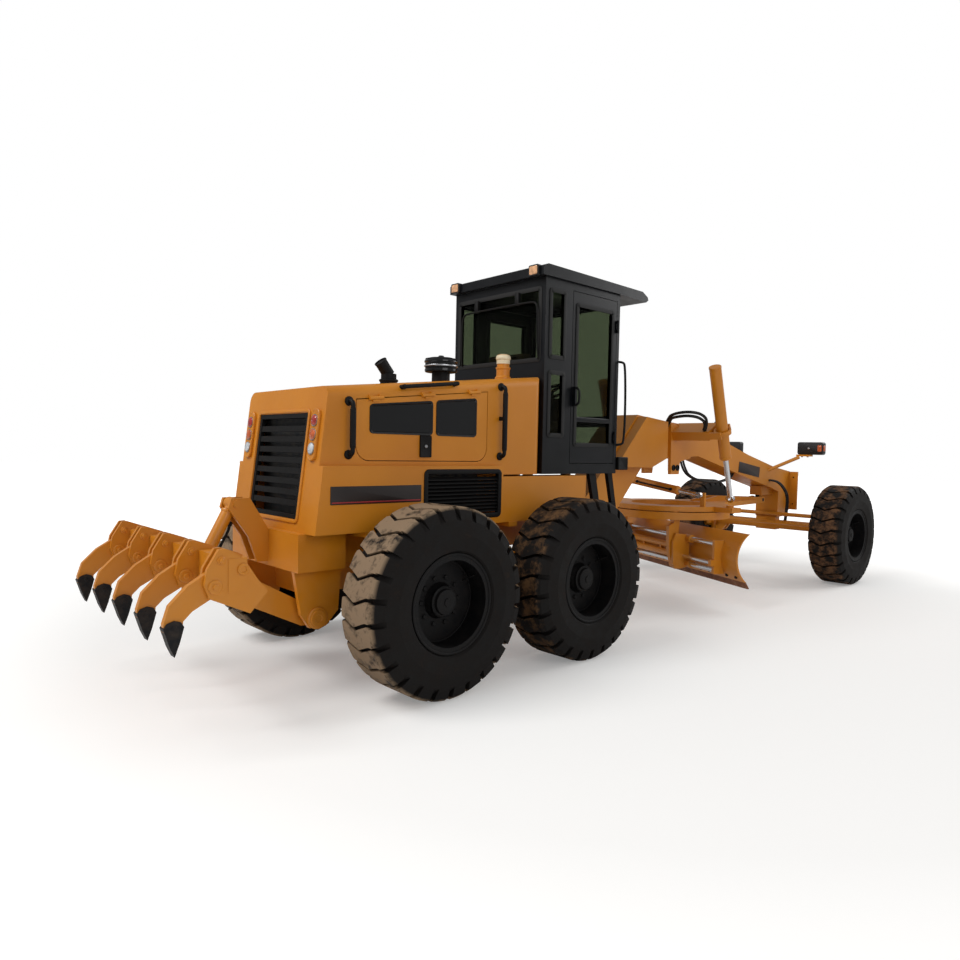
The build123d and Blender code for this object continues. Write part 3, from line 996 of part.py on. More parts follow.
with BuildPart() as ripper_frame:
    block(BEAM_X, (-beam_half, beam_half), BEAM_Z)
    for y in shank_ys:
        for side in SIDES:
            low, high = side_span(side, SHANK_HALF + SEAT_GAP, SHANK_HALF + 26)
            outline = END_PLATE if abs(y + low) > abs(shank_ys[0]) and abs(y + high) > abs(shank_ys[0]) else HOLDER_REAR
            plate_y(outline, y + low, y + high)
        block((-2420, BEAM_X[0]), (y - SHANK_HALF - SEAT_GAP, y + SHANK_HALF + SEAT_GAP), (700, 1200), Mode.SUBTRACT)
    for side in SIDES:
        plate_y(arm_outline, *side_span(side, ARM_IN, ARM_OUT))
        bar((pivot_x, side * ARM_IN, pivot_z), (pivot_x, side * ARM_OUT, pivot_z), 68)
        bar((pivot_x, side * (ARM_IN - 5), pivot_z), (pivot_x, side * (ARM_OUT + 5), pivot_z),
            RIPPER_PIN_R + RUNNING_GAP, Mode.SUBTRACT)
        plate_y([(BEAM_X[1] - 10, 885), (BEAM_X[1] - 10, 700), (rod_x + 45, 720), (rod_x + 45, 850), (BEAM_X[1] + 40, 900),
                 (BEAM_X[1], 900)],
                *side_span(side, 52, 74))
finish(ripper_frame.part, "ripper_frame")

SHANK = [(-2245, 1060), (-2343, 1022), (-2471, 944), (-2571, 844), (-2602, 745), (-2600, 700), (-2497, 700),
         (-2493, 748), (-2442, 798), (-2342, 852), (-2245, 895)]
TIP = [(-2606, 720), (-2585, 748), (-2544, 760), (-2508, 748), (-2491, 719), (-2516, 628), (-2543, 552), (-2570, 609)]
with BuildPart() as ripper_shanks:
    for y in shank_ys:
        plate_y(SHANK, y - SHANK_HALF, y + SHANK_HALF)
finish(ripper_shanks.part, "ripper_shanks")

with BuildPart() as ripper_tips:
    for y in shank_ys:
        plate_y(TIP, y - SHANK_HALF - 12, y + SHANK_HALF + 12)
        plate_y(SHANK, y - SHANK_HALF - SEAT_GAP, y + SHANK_HALF + SEAT_GAP, Mode.SUBTRACT)
finish(ripper_tips.part, "ripper_tips")

# Ripper cylinder
RIPPER_BARREL_R, RIPPER_BORE, RIPPER_ROD_R = 48, 36, 24
RIPPER_BARREL_LENGTH = 556
top_pin = (tower_x, 0, tower_z)
rod_pin = (rod_x, 0, rod_z)
with BuildPart() as ripper_barrel:
    bar((tower_x, -TOWER_IN + 6, tower_z), (tower_x, TOWER_IN - 6, tower_z), 46)
    bar(along(top_pin, rod_pin, 20), along(top_pin, rod_pin, 70), 34)
    bar(along(top_pin, rod_pin, 55), along(top_pin, rod_pin, RIPPER_BARREL_LENGTH), 45)
    bar(along(top_pin, rod_pin, 66), along(top_pin, rod_pin, RIPPER_BARREL_LENGTH - 28), RIPPER_BORE, Mode.SUBTRACT)
    bar(along(top_pin, rod_pin, 100), along(top_pin, rod_pin, RIPPER_BARREL_LENGTH + 5),
        RIPPER_ROD_R + RUNNING_GAP, Mode.SUBTRACT)
    bar((tower_x, -TOWER_IN, tower_z), (tower_x, TOWER_IN, tower_z), RIPPER_EYE_R + RUNNING_GAP, Mode.SUBTRACT)
finish(ripper_barrel.part, "ripper_barrel")

with BuildPart() as ripper_rod:
    bar(along(top_pin, rod_pin, 72), rod_pin, RIPPER_ROD_R)
    bar(along(top_pin, rod_pin, 72), along(top_pin, rod_pin, 90), RIPPER_BORE - RUNNING_GAP)
    bar((rod_x, -45, rod_z), (rod_x, 45, rod_z), 38)
finish(ripper_rod.part, "ripper_rod")
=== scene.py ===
import json
import math

import bpy
from mathutils import Matrix, Vector


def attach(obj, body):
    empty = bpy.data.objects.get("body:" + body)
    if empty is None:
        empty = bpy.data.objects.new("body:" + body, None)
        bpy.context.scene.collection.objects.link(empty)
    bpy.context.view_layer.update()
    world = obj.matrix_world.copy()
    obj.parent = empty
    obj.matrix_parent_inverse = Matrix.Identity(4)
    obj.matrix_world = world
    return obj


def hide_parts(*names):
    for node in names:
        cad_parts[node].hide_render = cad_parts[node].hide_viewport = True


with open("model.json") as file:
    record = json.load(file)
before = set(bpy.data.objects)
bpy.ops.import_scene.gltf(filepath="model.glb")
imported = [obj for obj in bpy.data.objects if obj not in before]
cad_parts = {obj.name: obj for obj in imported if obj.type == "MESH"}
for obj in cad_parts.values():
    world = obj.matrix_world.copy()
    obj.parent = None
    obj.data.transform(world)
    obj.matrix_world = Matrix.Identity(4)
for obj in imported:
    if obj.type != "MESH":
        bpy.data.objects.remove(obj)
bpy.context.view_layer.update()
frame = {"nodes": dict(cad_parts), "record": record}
SIDES = (-1, 1)  # right, left
SIDE_NAME = {-1: "right", 1: "left"}
RIGHT, BACK, AHEAD, DOWN = (0, -1, 0), (-1, 0, 0), (1, 0, 0), (0, 0, -1)
WHEELS = {"rear": -0.769, "middle": 0.769, "front": 6.500}  # place along the machine
WHEEL_Y, WHEEL_Z = 1.078, 0.680


# Materials: one function for each kind of finish on the machine

def linear(hex_colour):
    """An sRGB hex value as the linear colour that a shader socket takes."""
    parts = [int(hex_colour[i:i + 2], 16) / 255 for i in (1, 3, 5)]
    return tuple(c / 12.92 if c <= 0.04045 else ((c + 0.055) / 1.055) ** 2.4 for c in parts) + (1.0,)


def add_node(tree, kind, links=(), **settings):
    """One node of a shader tree.

    Settings are its properties, or its sockets as in_NAME; links are (socket, from node, from socket).
    """
    node = tree.nodes.new(kind)
    for name, value in settings.items():
        if name.startswith("in_"):
            node.inputs[name[3:].replace("_", " ")].default_value = value
        else:
            setattr(node, name, value)
    for socket, source, output in links:
        tree.links.new(source.outputs[output], node.inputs[socket])
    return node


def combined(tree, operation, first, second):
    """Two values made one; each is a (node, output) pair, and the second may be a number."""
    node = add_node(tree, "ShaderNodeMath", operation=operation)
    tree.links.new(first[0].outputs[first[1]], node.inputs[0])
    if isinstance(second, tuple):
        tree.links.new(second[0].outputs[second[1]], node.inputs[1])
    else:
        node.inputs[1].default_value = second
    return node


def darker(hex_colour, share):
    """The hex colour with each of its parts brought down to a share of it."""
    return "#" + "".join(f"{int(int(hex_colour[i:i + 2], 16) * share):02X}" for i in (1, 3, 5))


def finish_material(name):
    """A new material with its tree, its shader and the coordinates that its patterns read."""
    material = bpy.data.materials.new(name)
    material.use_nodes = True
    tree = material.node_tree
    shader = tree.nodes["Principled BSDF"]
    place = add_node(tree, "ShaderNodeTexCoord")
    return material, tree, shader, place


def noise(tree, place, grain_mm, detail=3.0, rough=0.55):
    """A noise whose blotches are about grain_mm across."""
    return add_node(tree, "ShaderNodeTexNoise", [("Vector", place, "Object")],
                    in_Scale=1000.0 / grain_mm, in_Detail=detail, in_Roughness=rough)


def ramp(tree, source, output, stops):
    """A colour ramp; stops are (position, colour) with hex colours or grey numbers."""
    node = add_node(tree, "ShaderNodeValToRGB", [("Fac", source, output)])
    elements = node.color_ramp.elements
    while len(elements) < len(stops):
        elements.new(0.5)
    for element, (position, colour) in zip(elements, stops):
        element.position = position
        element.color = linear(colour) if isinstance(colour, str) else (colour, colour, colour, 1.0)
    return node


def bump(tree, shader, source, output, depth_mm, strength=1.0):
    """Bump from a height pattern, with its depth in millimetres."""
    node = add_node(tree, "ShaderNodeBump", [("Height", source, output)],
                    in_Strength=strength, in_Distance=depth_mm / 1000.0)
    tree.links.new(node.outputs["Normal"], shader.inputs["Normal"])


def dusted(tree, shader, tone, share, dust):
    """The tone as the base colour, with dust over it where the share says."""
    mix = add_node(tree, "ShaderNodeMix", data_type="RGBA")
    tree.links.new(share.outputs["Value"], mix.inputs["Factor"])
    tree.links.new(tone.outputs["Color"], mix.inputs[6])
    mix.inputs[7].default_value = linear(dust)
    tree.links.new(mix.outputs[2], shader.inputs["Base Color"])


DUST_LINE, DUST_FULL = 1.3, 0.2  # heights where dust on paint begins and where it is fullest
LOW_DUST, DUST_COVER = 0.8, 0.35


def machine_enamel(name, base, shade, dust, rough=0.38, shine=0.5):
    """Sprayed two-pack enamel: an even gloss with faint orange peel, and dust low down and on top."""
    material, tree, shader, place = finish_material(name)
    cloud = noise(tree, place, 900, 2.0)
    tone = ramp(tree, cloud, "Fac", [(0.35, base), (0.7, shade)])
    smear = noise(tree, place, 160, 6.0, 0.65)
    normal = add_node(tree, "ShaderNodeNewGeometry")
    up = add_node(tree, "ShaderNodeSeparateXYZ", [("Vector", normal, "Normal")])
    faces_up = add_node(tree, "ShaderNodeMapRange", [("Value", up, "Z")],
                        in_From_Min=0.55, in_From_Max=1.0)
    low = add_node(tree, "ShaderNodeSeparateXYZ", [("Vector", place, "Object")])
    near_ground = add_node(tree, "ShaderNodeMapRange", [("Value", low, "Z")],
                           in_From_Min=DUST_LINE, in_From_Max=DUST_FULL, in_To_Max=LOW_DUST)
    either = combined(tree, "MAXIMUM", (faces_up, "Result"), (near_ground, "Result"))
    patchy = ramp(tree, smear, "Fac", [(0.42, 0.0), (0.72, 1.0)])
    amount = combined(tree, "MULTIPLY", (either, "Value"), (patchy, "Color"))
    dusted(tree, shader, tone, combined(tree, "MULTIPLY", (amount, "Value"), DUST_COVER), dust)
    gloss = ramp(tree, smear, "Fac", [(0.3, rough - 0.05), (0.75, rough + 0.14)])
    tree.links.new(gloss.outputs["Color"], shader.inputs["Roughness"])
    shader.inputs["Specular IOR Level"].default_value = shine
    shader.inputs["Coat Weight"].default_value = 0.12
    shader.inputs["Coat Roughness"].default_value = 0.2
    peel = noise(tree, place, 9, 2.0)
    bump(tree, shader, peel, "Fac", 0.35, 0.5)
    return material


def cast_paint(name, base, worn, rough=0.6, grain_mm=14, depth_mm=0.8, metallic=0.0):
    """Brushed-on black or grey over a casting: a grained skin with paler rubbed patches."""
    material, tree, shader, place = finish_material(name)
    patch = noise(tree, place, 70, 6.0, 0.7)
    tone = ramp(tree, patch, "Fac", [(0.4, base), (0.75, worn)])
    tree.links.new(tone.outputs["Color"], shader.inputs["Base Color"])
    gloss = ramp(tree, patch, "Fac", [(0.3, rough), (0.8, rough + 0.2)])
    tree.links.new(gloss.outputs["Color"], shader.inputs["Roughness"])
    shader.inputs["Metallic"].default_value = metallic
    shader.inputs["Specular IOR Level"].default_value = 0.22
    grain = noise(tree, place, grain_mm, 4.0)
    bump(tree, shader, grain, "Fac", depth_mm, 0.6)
    return material


CROWN_FROM, CROWN_FULL = 0.655, 0.674  # radii between which a lug's top takes its dust
DUST_EDGE = 0.16


def tread_rubber(name, axle_x, dust, clean):
    """Vulcanised natural rubber: brown-black walls, and road dust pressed into the tops of the lugs."""
    material, tree, shader, place = finish_material(name)
    patch = noise(tree, place, 120, 7.0, 0.7)
    tone = ramp(tree, patch, "Fac", [(0.35, "#0C0A09"), (0.6, "#15110F"), (0.85, "#2C221B")])
    from_axle = add_node(tree, "ShaderNodeMapping", [("Vector", place, "Object")],
                         in_Location=(-axle_x, 0, -WHEEL_Z), in_Scale=(1, 0, 1))
    radius = add_node(tree, "ShaderNodeVectorMath", [("Vector", from_axle, "Vector")], operation="LENGTH")
    crown = add_node(tree, "ShaderNodeMapRange", [("Value", radius, "Value")],
                     in_From_Min=CROWN_FROM, in_From_Max=CROWN_FULL)
    worn = ramp(tree, patch, "Fac", [(clean, 0.0), (clean + DUST_EDGE, 0.9)])
    dusted(tree, shader, tone, combined(tree, "MULTIPLY", (crown, "Result"), (worn, "Color")), dust)
    gloss = ramp(tree, patch, "Fac", [(0.3, 0.6), (0.8, 0.95)])
    tree.links.new(gloss.outputs["Color"], shader.inputs["Roughness"])
    shader.inputs["Specular IOR Level"].default_value = 0.2
    grain = noise(tree, place, 12, 5.0)
    bump(tree, shader, grain, "Fac", 1.2, 0.6)
    return material


def cab_pane():
    """Toughened safety glass with a faint grey-green body and a film of dust."""
    material, tree, shader, place = finish_material("safety_glass")
    shader.inputs["Base Color"].default_value = linear("#7F8775")
    shader.inputs["Transmission Weight"].default_value = 1.0
    shader.inputs["IOR"].default_value = 1.1
    film = noise(tree, place, 260, 5.0, 0.6)
    gloss = ramp(tree, film, "Fac", [(0.4, 0.02), (0.9, 0.22)])
    tree.links.new(gloss.outputs["Color"], shader.inputs["Roughness"])
    return material


def ground_chrome(name="ground_chrome", colour="#DADCE0", rough=0.12):
    """Hard chrome or bright zinc on ground steel: mirror-bright, with a thin film of oil and dust."""
    material, tree, shader, place = finish_material(name)
    shader.inputs["Base Color"].default_value = linear(colour)
    shader.inputs["Metallic"].default_value = 1.0
    film = noise(tree, place, 60, 4.0)
    gloss = ramp(tree, film, "Fac", [(0.3, rough), (0.9, rough + 0.14)])
    tree.links.new(gloss.outputs["Color"], shader.inputs["Roughness"])
    bump(tree, shader, noise(tree, place, 3, 2.0), "Fac", 0.05, 0.4)
    return material


def rolled_edge_steel():
    """Hot-rolled blade steel: brown mill rust, scoured brighter along its working edge."""
    material, tree, shader, place = finish_material("rolled_edge_steel")
    patch = noise(tree, place, 90, 8.0, 0.7)
    tone = ramp(tree, patch, "Fac", [(0.3, "#5B3521"), (0.55, "#84502F"), (0.8, "#9C8672")])
    tree.links.new(tone.outputs["Color"], shader.inputs["Base Color"])
    metal = ramp(tree, patch, "Fac", [(0.45, 0.1), (0.85, 0.85)])
    tree.links.new(metal.outputs["Color"], shader.inputs["Metallic"])
    gloss = ramp(tree, patch, "Fac", [(0.3, 0.75), (0.85, 0.4)])
    tree.links.new(gloss.outputs["Color"], shader.inputs["Roughness"])
    bump(tree, shader, noise(tree, place, 8, 5.0), "Fac", 0.6, 0.7)
    return material


def moulded(name, colour, rough, grain_mm=4, depth_mm=0.3):
    """Injection-moulded plastic with a fine moulded-in grain."""
    material, tree, shader, place = finish_material(name)
    patch = noise(tree, place, 110, 3.0)
    tone = ramp(tree, patch, "Fac", [(0.35, colour), (0.8, darker(colour, 0.82))])
    tree.links.new(tone.outputs["Color"], shader.inputs["Base Color"])
    shader.inputs["Roughness"].default_value = rough
    bump(tree, shader, noise(tree, place, grain_mm, 2.0), "Fac", depth_mm, 0.5)
    return material


def lamp_plastic(name, colour, flute_mm=6):
    """Polycarbonate lamp lens: clear gloss skin over moulded flutes that break up the light."""
    material, tree, shader, place = finish_material(name)
    patch = noise(tree, place, 30, 3.0)
    tone = ramp(tree, patch, "Fac", [(0.35, colour), (0.8, darker(colour, 0.7))])
    tree.links.new(tone.outputs["Color"], shader.inputs["Base Color"])
    shader.inputs["Roughness"].default_value = 0.12
    shader.inputs["IOR"].default_value = 1.58
    shader.inputs["Coat Weight"].default_value = 0.6
    flutes = add_node(tree, "ShaderNodeTexWave", [("Vector", place, "Object")], wave_type="BANDS",
                      bands_direction="Z", in_Scale=1000.0 / flute_mm / 20, in_Distortion=0.4)
    bump(tree, shader, flutes, "Fac", 1.0, 0.6)
    return material


# Finishes in use; a tyre's pair is the colour of its dust and how clean it is
YELLOW = machine_enamel("yellow_enamel", "#CE8216", "#C27610", "#B58D55")
CAB_BLUE_BLACK = machine_enamel("blue_black_enamel", "#06080C", "#0A0C11", "#2C2923", 0.34, 0.25)
SATIN_BLACK = cast_paint("satin_black_paint", "#050506", "#100E0D", 0.5)
RIM_BLACK = cast_paint("rim_black_paint", "#050507", "#15110F", 0.5)
ENGINE_GREY = cast_paint("engine_casting_grey", "#33363A", "#55514A", 0.6, 10, 1.2)
FORGED_BLACK = cast_paint("forged_black_steel", "#1A1A1B", "#4A443D", 0.45, 8, 0.8, 0.4)
TIP_BLACK = cast_paint("cast_tooth_steel", "#17181B", "#3B332D", 0.45, 10, 1.0, 0.3)
TREAD_DUST = {"rear": ("#8E7860", 0.34), "middle": ("#64492F", 0.46), "front": ("#6A4C34", 0.44)}
RUBBER = {axle: tread_rubber(f"tread_rubber_{axle}", WHEELS[axle], *TREAD_DUST[axle]) for axle in WHEELS}
GLASS = cab_pane()
CHROME = ground_chrome()
EDGE = rolled_edge_steel()
TRIM = moulded("cab_trim_grained", "#6B5343", 0.75, 5, 0.4)
AMBER = moulded("lamp_lens_amber", "#E08A4A", 0.25, 7, 0.8)
SMOKED = moulded("smoked_acrylic", "#0C0D0F", 0.14, 30, 0.1)
BRIGHT = ground_chrome("bright_zinc_plate", "#B9BABD", 0.28)
PLATE_DARK = moulded("dark_plate_film", "#241A18", 0.35, 3, 0.1)
RED_LINE = moulded("red_film", "#A3262A", 0.35, 3, 0.1)
CREAM_CAP = moulded("cream_polythene_cap", "#E6D6B4", 0.45, 5, 0.3)
LAMP_SHELL = moulded("lamp_shell_black", "#0D0D0F", 0.38, 3, 0.2)
RUBBER_SEAL = moulded("window_seal_rubber", "#0B0B0B", 0.7, 3, 0.3)
LENS_RED = lamp_plastic("lens_red", "#B32A22")
LENS_ORANGE = lamp_plastic("lens_orange", "#D2622A")
LENS_CLEAR = lamp_plastic("lens_clear", "#D8DCE0", 9)
LENS_AMBER = lamp_plastic("lens_pale_amber", "#F0B98A", 9)

SLOT_MATERIAL = {
    "yellow_enamel": YELLOW, "cab_black": CAB_BLUE_BLACK, "grille_black": SATIN_BLACK, "rim_black": RIM_BLACK,
    "engine_grey": ENGINE_GREY, "cab_glass": GLASS, "cab_trim": TRIM, "lamp_lens": AMBER,
    "edge_steel": EDGE, "tip_steel": TIP_BLACK, "chrome_rod": CHROME, "forged_black": FORGED_BLACK,
}
for subpart in frame["record"]["subparts"]:
    node_object = frame["nodes"][subpart["node"]]
    node_object.data.materials.clear()
    if subpart["material_slot"] == "tyre_rubber":
        node_object.data.materials.append(RUBBER[subpart["node"].split("_")[1]])
    else:
        node_object.data.materials.append(SLOT_MATERIAL[subpart["material_slot"]])


# Making: every piece is shaped about the origin with Z outward, then put in its place

def only(piece):
    """Just this piece selected and active."""
    bpy.ops.object.select_all(action="DESELECT")
    piece.select_set(True)
    bpy.context.view_layer.objects.active = piece


def pick(piece, kind, test):
    """Edit mode, with only the faces or edges that pass the test selected."""
    bpy.ops.object.mode_set(mode="EDIT")
    bpy.ops.mesh.select_mode(type=kind)
    bpy.ops.mesh.select_all(action="DESELECT")
    bpy.ops.object.mode_set(mode="OBJECT")
    points = piece.data.vertices
    if kind == "FACE":
        for face in piece.data.polygons:
            face.select = test(face)
    else:
        for edge in piece.data.edges:
            edge.select = test(*(points[i].co for i in edge.vertices))
    bpy.ops.object.mode_set(mode="EDIT")


def facing(point, outward, up=(0, 0, 1)):
    """The place at a point whose Z looks outward and whose Y leans to up."""
    z = Vector(outward).normalized()
    x = Vector(up).cross(z).normalized()
    return Matrix.Translation(point) @ Matrix((x, z.cross(x), z)).transposed().to_4x4()


def put(piece, place):
    """The piece moved to its place, with the place in its mesh."""
    only(piece)
    if place is not None:
        piece.matrix_world = place
    bpy.ops.object.transform_apply(location=True, rotation=True, scale=True)
    return piece


def plate(name, width, height, depth, corner=0.0, steps=(), place=None):
    """A plate with round corners; its outer face is stepped by (inset, rise) pairs."""
    bpy.ops.object.select_all(action="DESELECT")
    bpy.ops.mesh.primitive_cube_add(size=1, location=(0, 0, depth / 2), scale=(width, height, depth))
    piece = put(bpy.context.object, None)
    piece.name = name
    if corner:
        pick(piece, "EDGE", lambda a, b: abs(a.z - b.z) > depth / 2)
        bpy.ops.mesh.bevel(offset=corner, segments=6, affect="EDGES")
        bpy.ops.object.mode_set(mode="OBJECT")
    if steps:
        pick(piece, "FACE", lambda face: face.normal.z > 0.99)
        for inset, rise in steps:
            if inset:
                bpy.ops.mesh.inset(thickness=inset, depth=rise)
            else:
                bpy.ops.mesh.extrude_region_move(TRANSFORM_OT_translate={"value": (0, 0, rise)})
        bpy.ops.object.mode_set(mode="OBJECT")
    return put(piece, place)


def turned(name, profile, place=None, sides=32):
    """A round piece along Z from (radius, height) pairs, its first two of one radius."""
    (radius, low), (_, high) = profile[:2]
    bpy.ops.object.select_all(action="DESELECT")
    bpy.ops.mesh.primitive_cylinder_add(vertices=sides, radius=radius, depth=high - low,
                                        location=(0, 0, (low + high) / 2))
    piece = put(bpy.context.object, None)
    piece.name = name
    if len(profile) > 2:
        pick(piece, "FACE", lambda face: face.normal.z > 0.99)
        for next_radius, height in profile[2:]:
            bpy.ops.mesh.extrude_region_move(TRANSFORM_OT_translate={"value": (0, 0, height - high)})
            scale = next_radius / radius
            bpy.ops.transform.resize(value=(scale, scale, 1), center_override=(0, 0, height))
            radius, high = next_radius, height
        bpy.ops.object.mode_set(mode="OBJECT")
    return put(piece, place)


def hollowed(piece, rim):
    """A plate or drum with its middle taken out, leaving a rim."""
    pick(piece, "FACE", lambda face: abs(face.normal.z) > 0.99)
    bpy.ops.mesh.inset(thickness=rim)
    bpy.ops.mesh.bridge_edge_loops()
    bpy.ops.mesh.select_all(action="SELECT")
    bpy.ops.mesh.normals_make_consistent(inside=False)
    bpy.ops.object.mode_set(mode="OBJECT")
    return piece


def pipe(name, points, radius):
    """A rod, pipe or hose along the smooth line that the points draw to themselves."""
    curve = bpy.data.curves.new(name, "CURVE")
    curve.dimensions = "3D"
    curve.bevel_depth = radius
    curve.bevel_resolution = 3
    curve.use_fill_caps = True
    spline = curve.splines.new("NURBS")
    spline.points.add(len(points) - 1)
    for control, point in zip(spline.points, points):
        control.co = (*point, 1)
    spline.order_u = 3
    spline.use_endpoint_u = True
    spline.resolution_u = 6
    piece = bpy.data.objects.new(name, curve)
    bpy.context.scene.collection.objects.link(piece)
    only(piece)
    bpy.ops.object.convert(target="MESH")
    return bpy.context.object


def lifted(profile, height):
    """A profile for a turned piece with every height taken from a level."""
    return [(radius, height + rise) for radius, rise in profile]


def joined(name, pieces):
    """Several pieces made one."""
    bpy.ops.object.select_all(action="DESELECT")
    for piece in pieces:
        piece.select_set(True)
    bpy.context.view_layer.objects.active = pieces[0]
    bpy.ops.object.join()
    whole = bpy.context.object
    whole.name = name
    return whole


def own_copy(piece, name):
    """A copy of the piece with its own mesh."""
    copy = piece.copy()
    copy.data = piece.data.copy()
    copy.name = name
    bpy.context.scene.collection.objects.link(copy)
    return copy


def repeated(name, pattern, places):
    """A copy of the pattern at each place, all joined into one piece."""
    copies = [put(own_copy(pattern, "copy"), place) for place in places]
    bpy.data.objects.remove(pattern)
    return joined(name, copies)


def mirrored(piece, name):
    """The same piece on the other side of the machine."""
    copy = own_copy(piece, name)
    only(copy)
    copy.scale = (1, -1, 1)
    bpy.ops.object.transform_apply(location=True, rotation=True, scale=True)
    bpy.ops.object.mode_set(mode="EDIT")
    bpy.ops.mesh.select_all(action="SELECT")
    bpy.ops.mesh.normals_make_consistent(inside=False)
    bpy.ops.object.mode_set(mode="OBJECT")
    return copy


def rounded(piece, width, segments=2):
    """The piece with its sharp edges rounded off."""
    only(piece)
    modifier = piece.modifiers.new("rounding", "BEVEL")
    modifier.width = width
    modifier.segments = segments
    modifier.limit_method = "ANGLE"
    bpy.ops.object.modifier_apply(modifier="rounding")
    return piece


def settle(piece, body, material, both=False):
    """Give the piece its finish and let it ride its body; both adds its like on the left side."""
    only(piece)
    bpy.ops.object.shade_smooth_by_angle(angle=math.radians(35))
    piece.data.materials.clear()
    piece.data.materials.append(material)
    if both:
        left = mirrored(piece, piece.name.replace("right", "left"))
        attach(left, body.replace("right", "left"))
    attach(piece, body)
    return piece


def bolt_pattern(half):
    """One hex-headed bolt on its washer, head along Z; half is half the size across its corners."""
    washer = turned("washer", [(half * 1.2, -0.001), (half * 1.2, 0.002), (half * 1.1, 0.003)], sides=14)
    head = turned("head", [(half, 0.0), (half, half * 0.8), (half * 0.8, half * 0.95)], sides=6)
    return joined("bolt_pattern", [washer, head])


# Hood: screens and latches in the doors, handle over them, bare plate, louvre frame and grab rails
HOOD_SIDE, HOOD_LOW_SIDE = -0.615, -0.670


def hood_top(x):
    """Height of the hood's top line at a place along the machine."""
    return 2.42 + 0.11026 * (x - 0.79)


HOOD_SCREENS = [  # name, rear x, front x, low z, rear top z, front top z
    ("rear", -1.040, -0.470, 1.865, 2.062, 2.120),
    ("front", -0.420, -0.010, 1.865, 2.125, 2.168),
]
SCREEN_LAP = 0.009
for screen, x_rear, x_front, z_low, z_rear, z_front in HOOD_SCREENS:
    z_top = (z_rear + z_front) / 2
    width = x_front - x_rear + 2 * SCREEN_LAP
    height = z_top - z_low + 2 * SCREEN_LAP
    pane = plate(f"hood_screen_{screen}_right", width, height, 0.012, 0.032,
                 [(0.014, 0.002), (0.006, -0.006)])
    for point in pane.data.vertices:
        share = point.co.y / height + 0.5
        point.co.y += (z_front - z_rear) * point.co.x / width * share
    put(pane, facing(((x_rear + x_front) / 2, HOOD_SIDE + 0.008, (z_low + z_top) / 2), RIGHT))
    settle(pane, "hood_door_right", SMOKED, both=True)

LATCH_X, LATCH_Z = (-0.588, -0.478), (1.686, 1.856)
latch_place = facing((sum(LATCH_X) / 2, HOOD_SIDE, sum(LATCH_Z) / 2), RIGHT)
latch = plate("hood_latch_right", LATCH_X[1] - LATCH_X[0], LATCH_Z[1] - LATCH_Z[0], 0.014, 0.008,
              [(0.004, 0.003), (0.003, -0.004)], latch_place)
settle(rounded(latch, 0.001), "hood_door_right", SATIN_BLACK, both=True)
lock = turned("hood_lock_right",
              [(0.013, 0.010), (0.013, 0.017), (0.010, 0.020), (0.004, 0.020), (0.003, 0.017)],
              latch_place, 20)
settle(lock, "hood_door_right", BRIGHT, both=True)

HANDLE_OUT = 0.035
HANDLE_LINE = [(-0.775, 2.214), (-0.50, 2.247), (-0.235, 2.279)]  # x, z
HANDLE_FEET = [(-0.76, 2.216), (-0.25, 2.277)]
handle_y = HOOD_SIDE - HANDLE_OUT
handle_bar = pipe("hood_handle_bar", [(x, handle_y, z) for x, z in HANDLE_LINE], 0.016)
feet = [pipe("foot", [(x, handle_y, z), (x + 0.004, HOOD_SIDE + HANDLE_OUT, z - 0.006)], 0.019)
        for x, z in HANDLE_FEET]
handle = joined("hood_handle_right", [handle_bar] + feet)
settle(handle, "chassis", SATIN_BLACK, both=True)

PLATE_X, PLATE_Z, LINE_Z = -1.003, 1.412, 1.362
name_plate = plate("bare_plate_right", 0.79, 0.128, 0.005, 0.004, [(0.003, 0.001)],
                   facing((PLATE_X, HOOD_LOW_SIDE, PLATE_Z), RIGHT))
settle(name_plate, "chassis", PLATE_DARK, both=True)
red_line = plate("red_line_right", 0.772, 0.009, 0.0015, 0.002, [(0.001, 0.0003)],
                 facing((PLATE_X, HOOD_LOW_SIDE - 0.006, LINE_Z), RIGHT))
settle(rounded(red_line, 0.0003, 1), "chassis", RED_LINE, both=True)

LOUVRE_X, LOUVRE_Z = (-0.565, 0.230), (1.205, 1.580)
LOUVRE_LAP, LOUVRE_RIM = 0.03, 0.038
louvre_frame = plate("louvre_frame_right", LOUVRE_X[1] - LOUVRE_X[0] + LOUVRE_LAP,
                     LOUVRE_Z[1] - LOUVRE_Z[0] + LOUVRE_LAP, 0.014, 0.045)
hollowed(louvre_frame, LOUVRE_RIM)
put(louvre_frame, facing((sum(LOUVRE_X) / 2, HOOD_LOW_SIDE + 0.006, sum(LOUVRE_Z) / 2), RIGHT))
settle(rounded(louvre_frame, 0.003), "chassis", SATIN_BLACK, both=True)

GRAB_RAILS = [(-1.225, 1.70, 2.08), (0.27, 1.701, 2.29)]  # x, low z, high z
RAIL_OUT, SLEEVE_GAP, CLIP_Z = 0.060, 0.045, 2.02
for number, (x, z_low, z_high) in enumerate(GRAB_RAILS):
    length = z_high - z_low - 2 * SLEEVE_GAP
    sleeve = turned(f"rail_sleeve_{number}_right",
                    [(0.019, 0), (0.019, 0.01), (0.022, 0.014), (0.022, length - 0.014),
                     (0.019, length - 0.01), (0.019, length)],
                    Matrix.Translation((x, HOOD_SIDE - RAIL_OUT, z_low + SLEEVE_GAP)), 20)
    washers = [turned("foot", [(0.034, 0), (0.034, 0.010), (0.028, 0.016), (0.021, 0.020)],
                      facing((x, HOOD_SIDE, z), RIGHT), 20) for z in (z_low, z_high)]
    rail = joined(f"grab_rail_trim_{number}_right", [sleeve] + washers)
    settle(rail, "chassis", SATIN_BLACK, both=True)
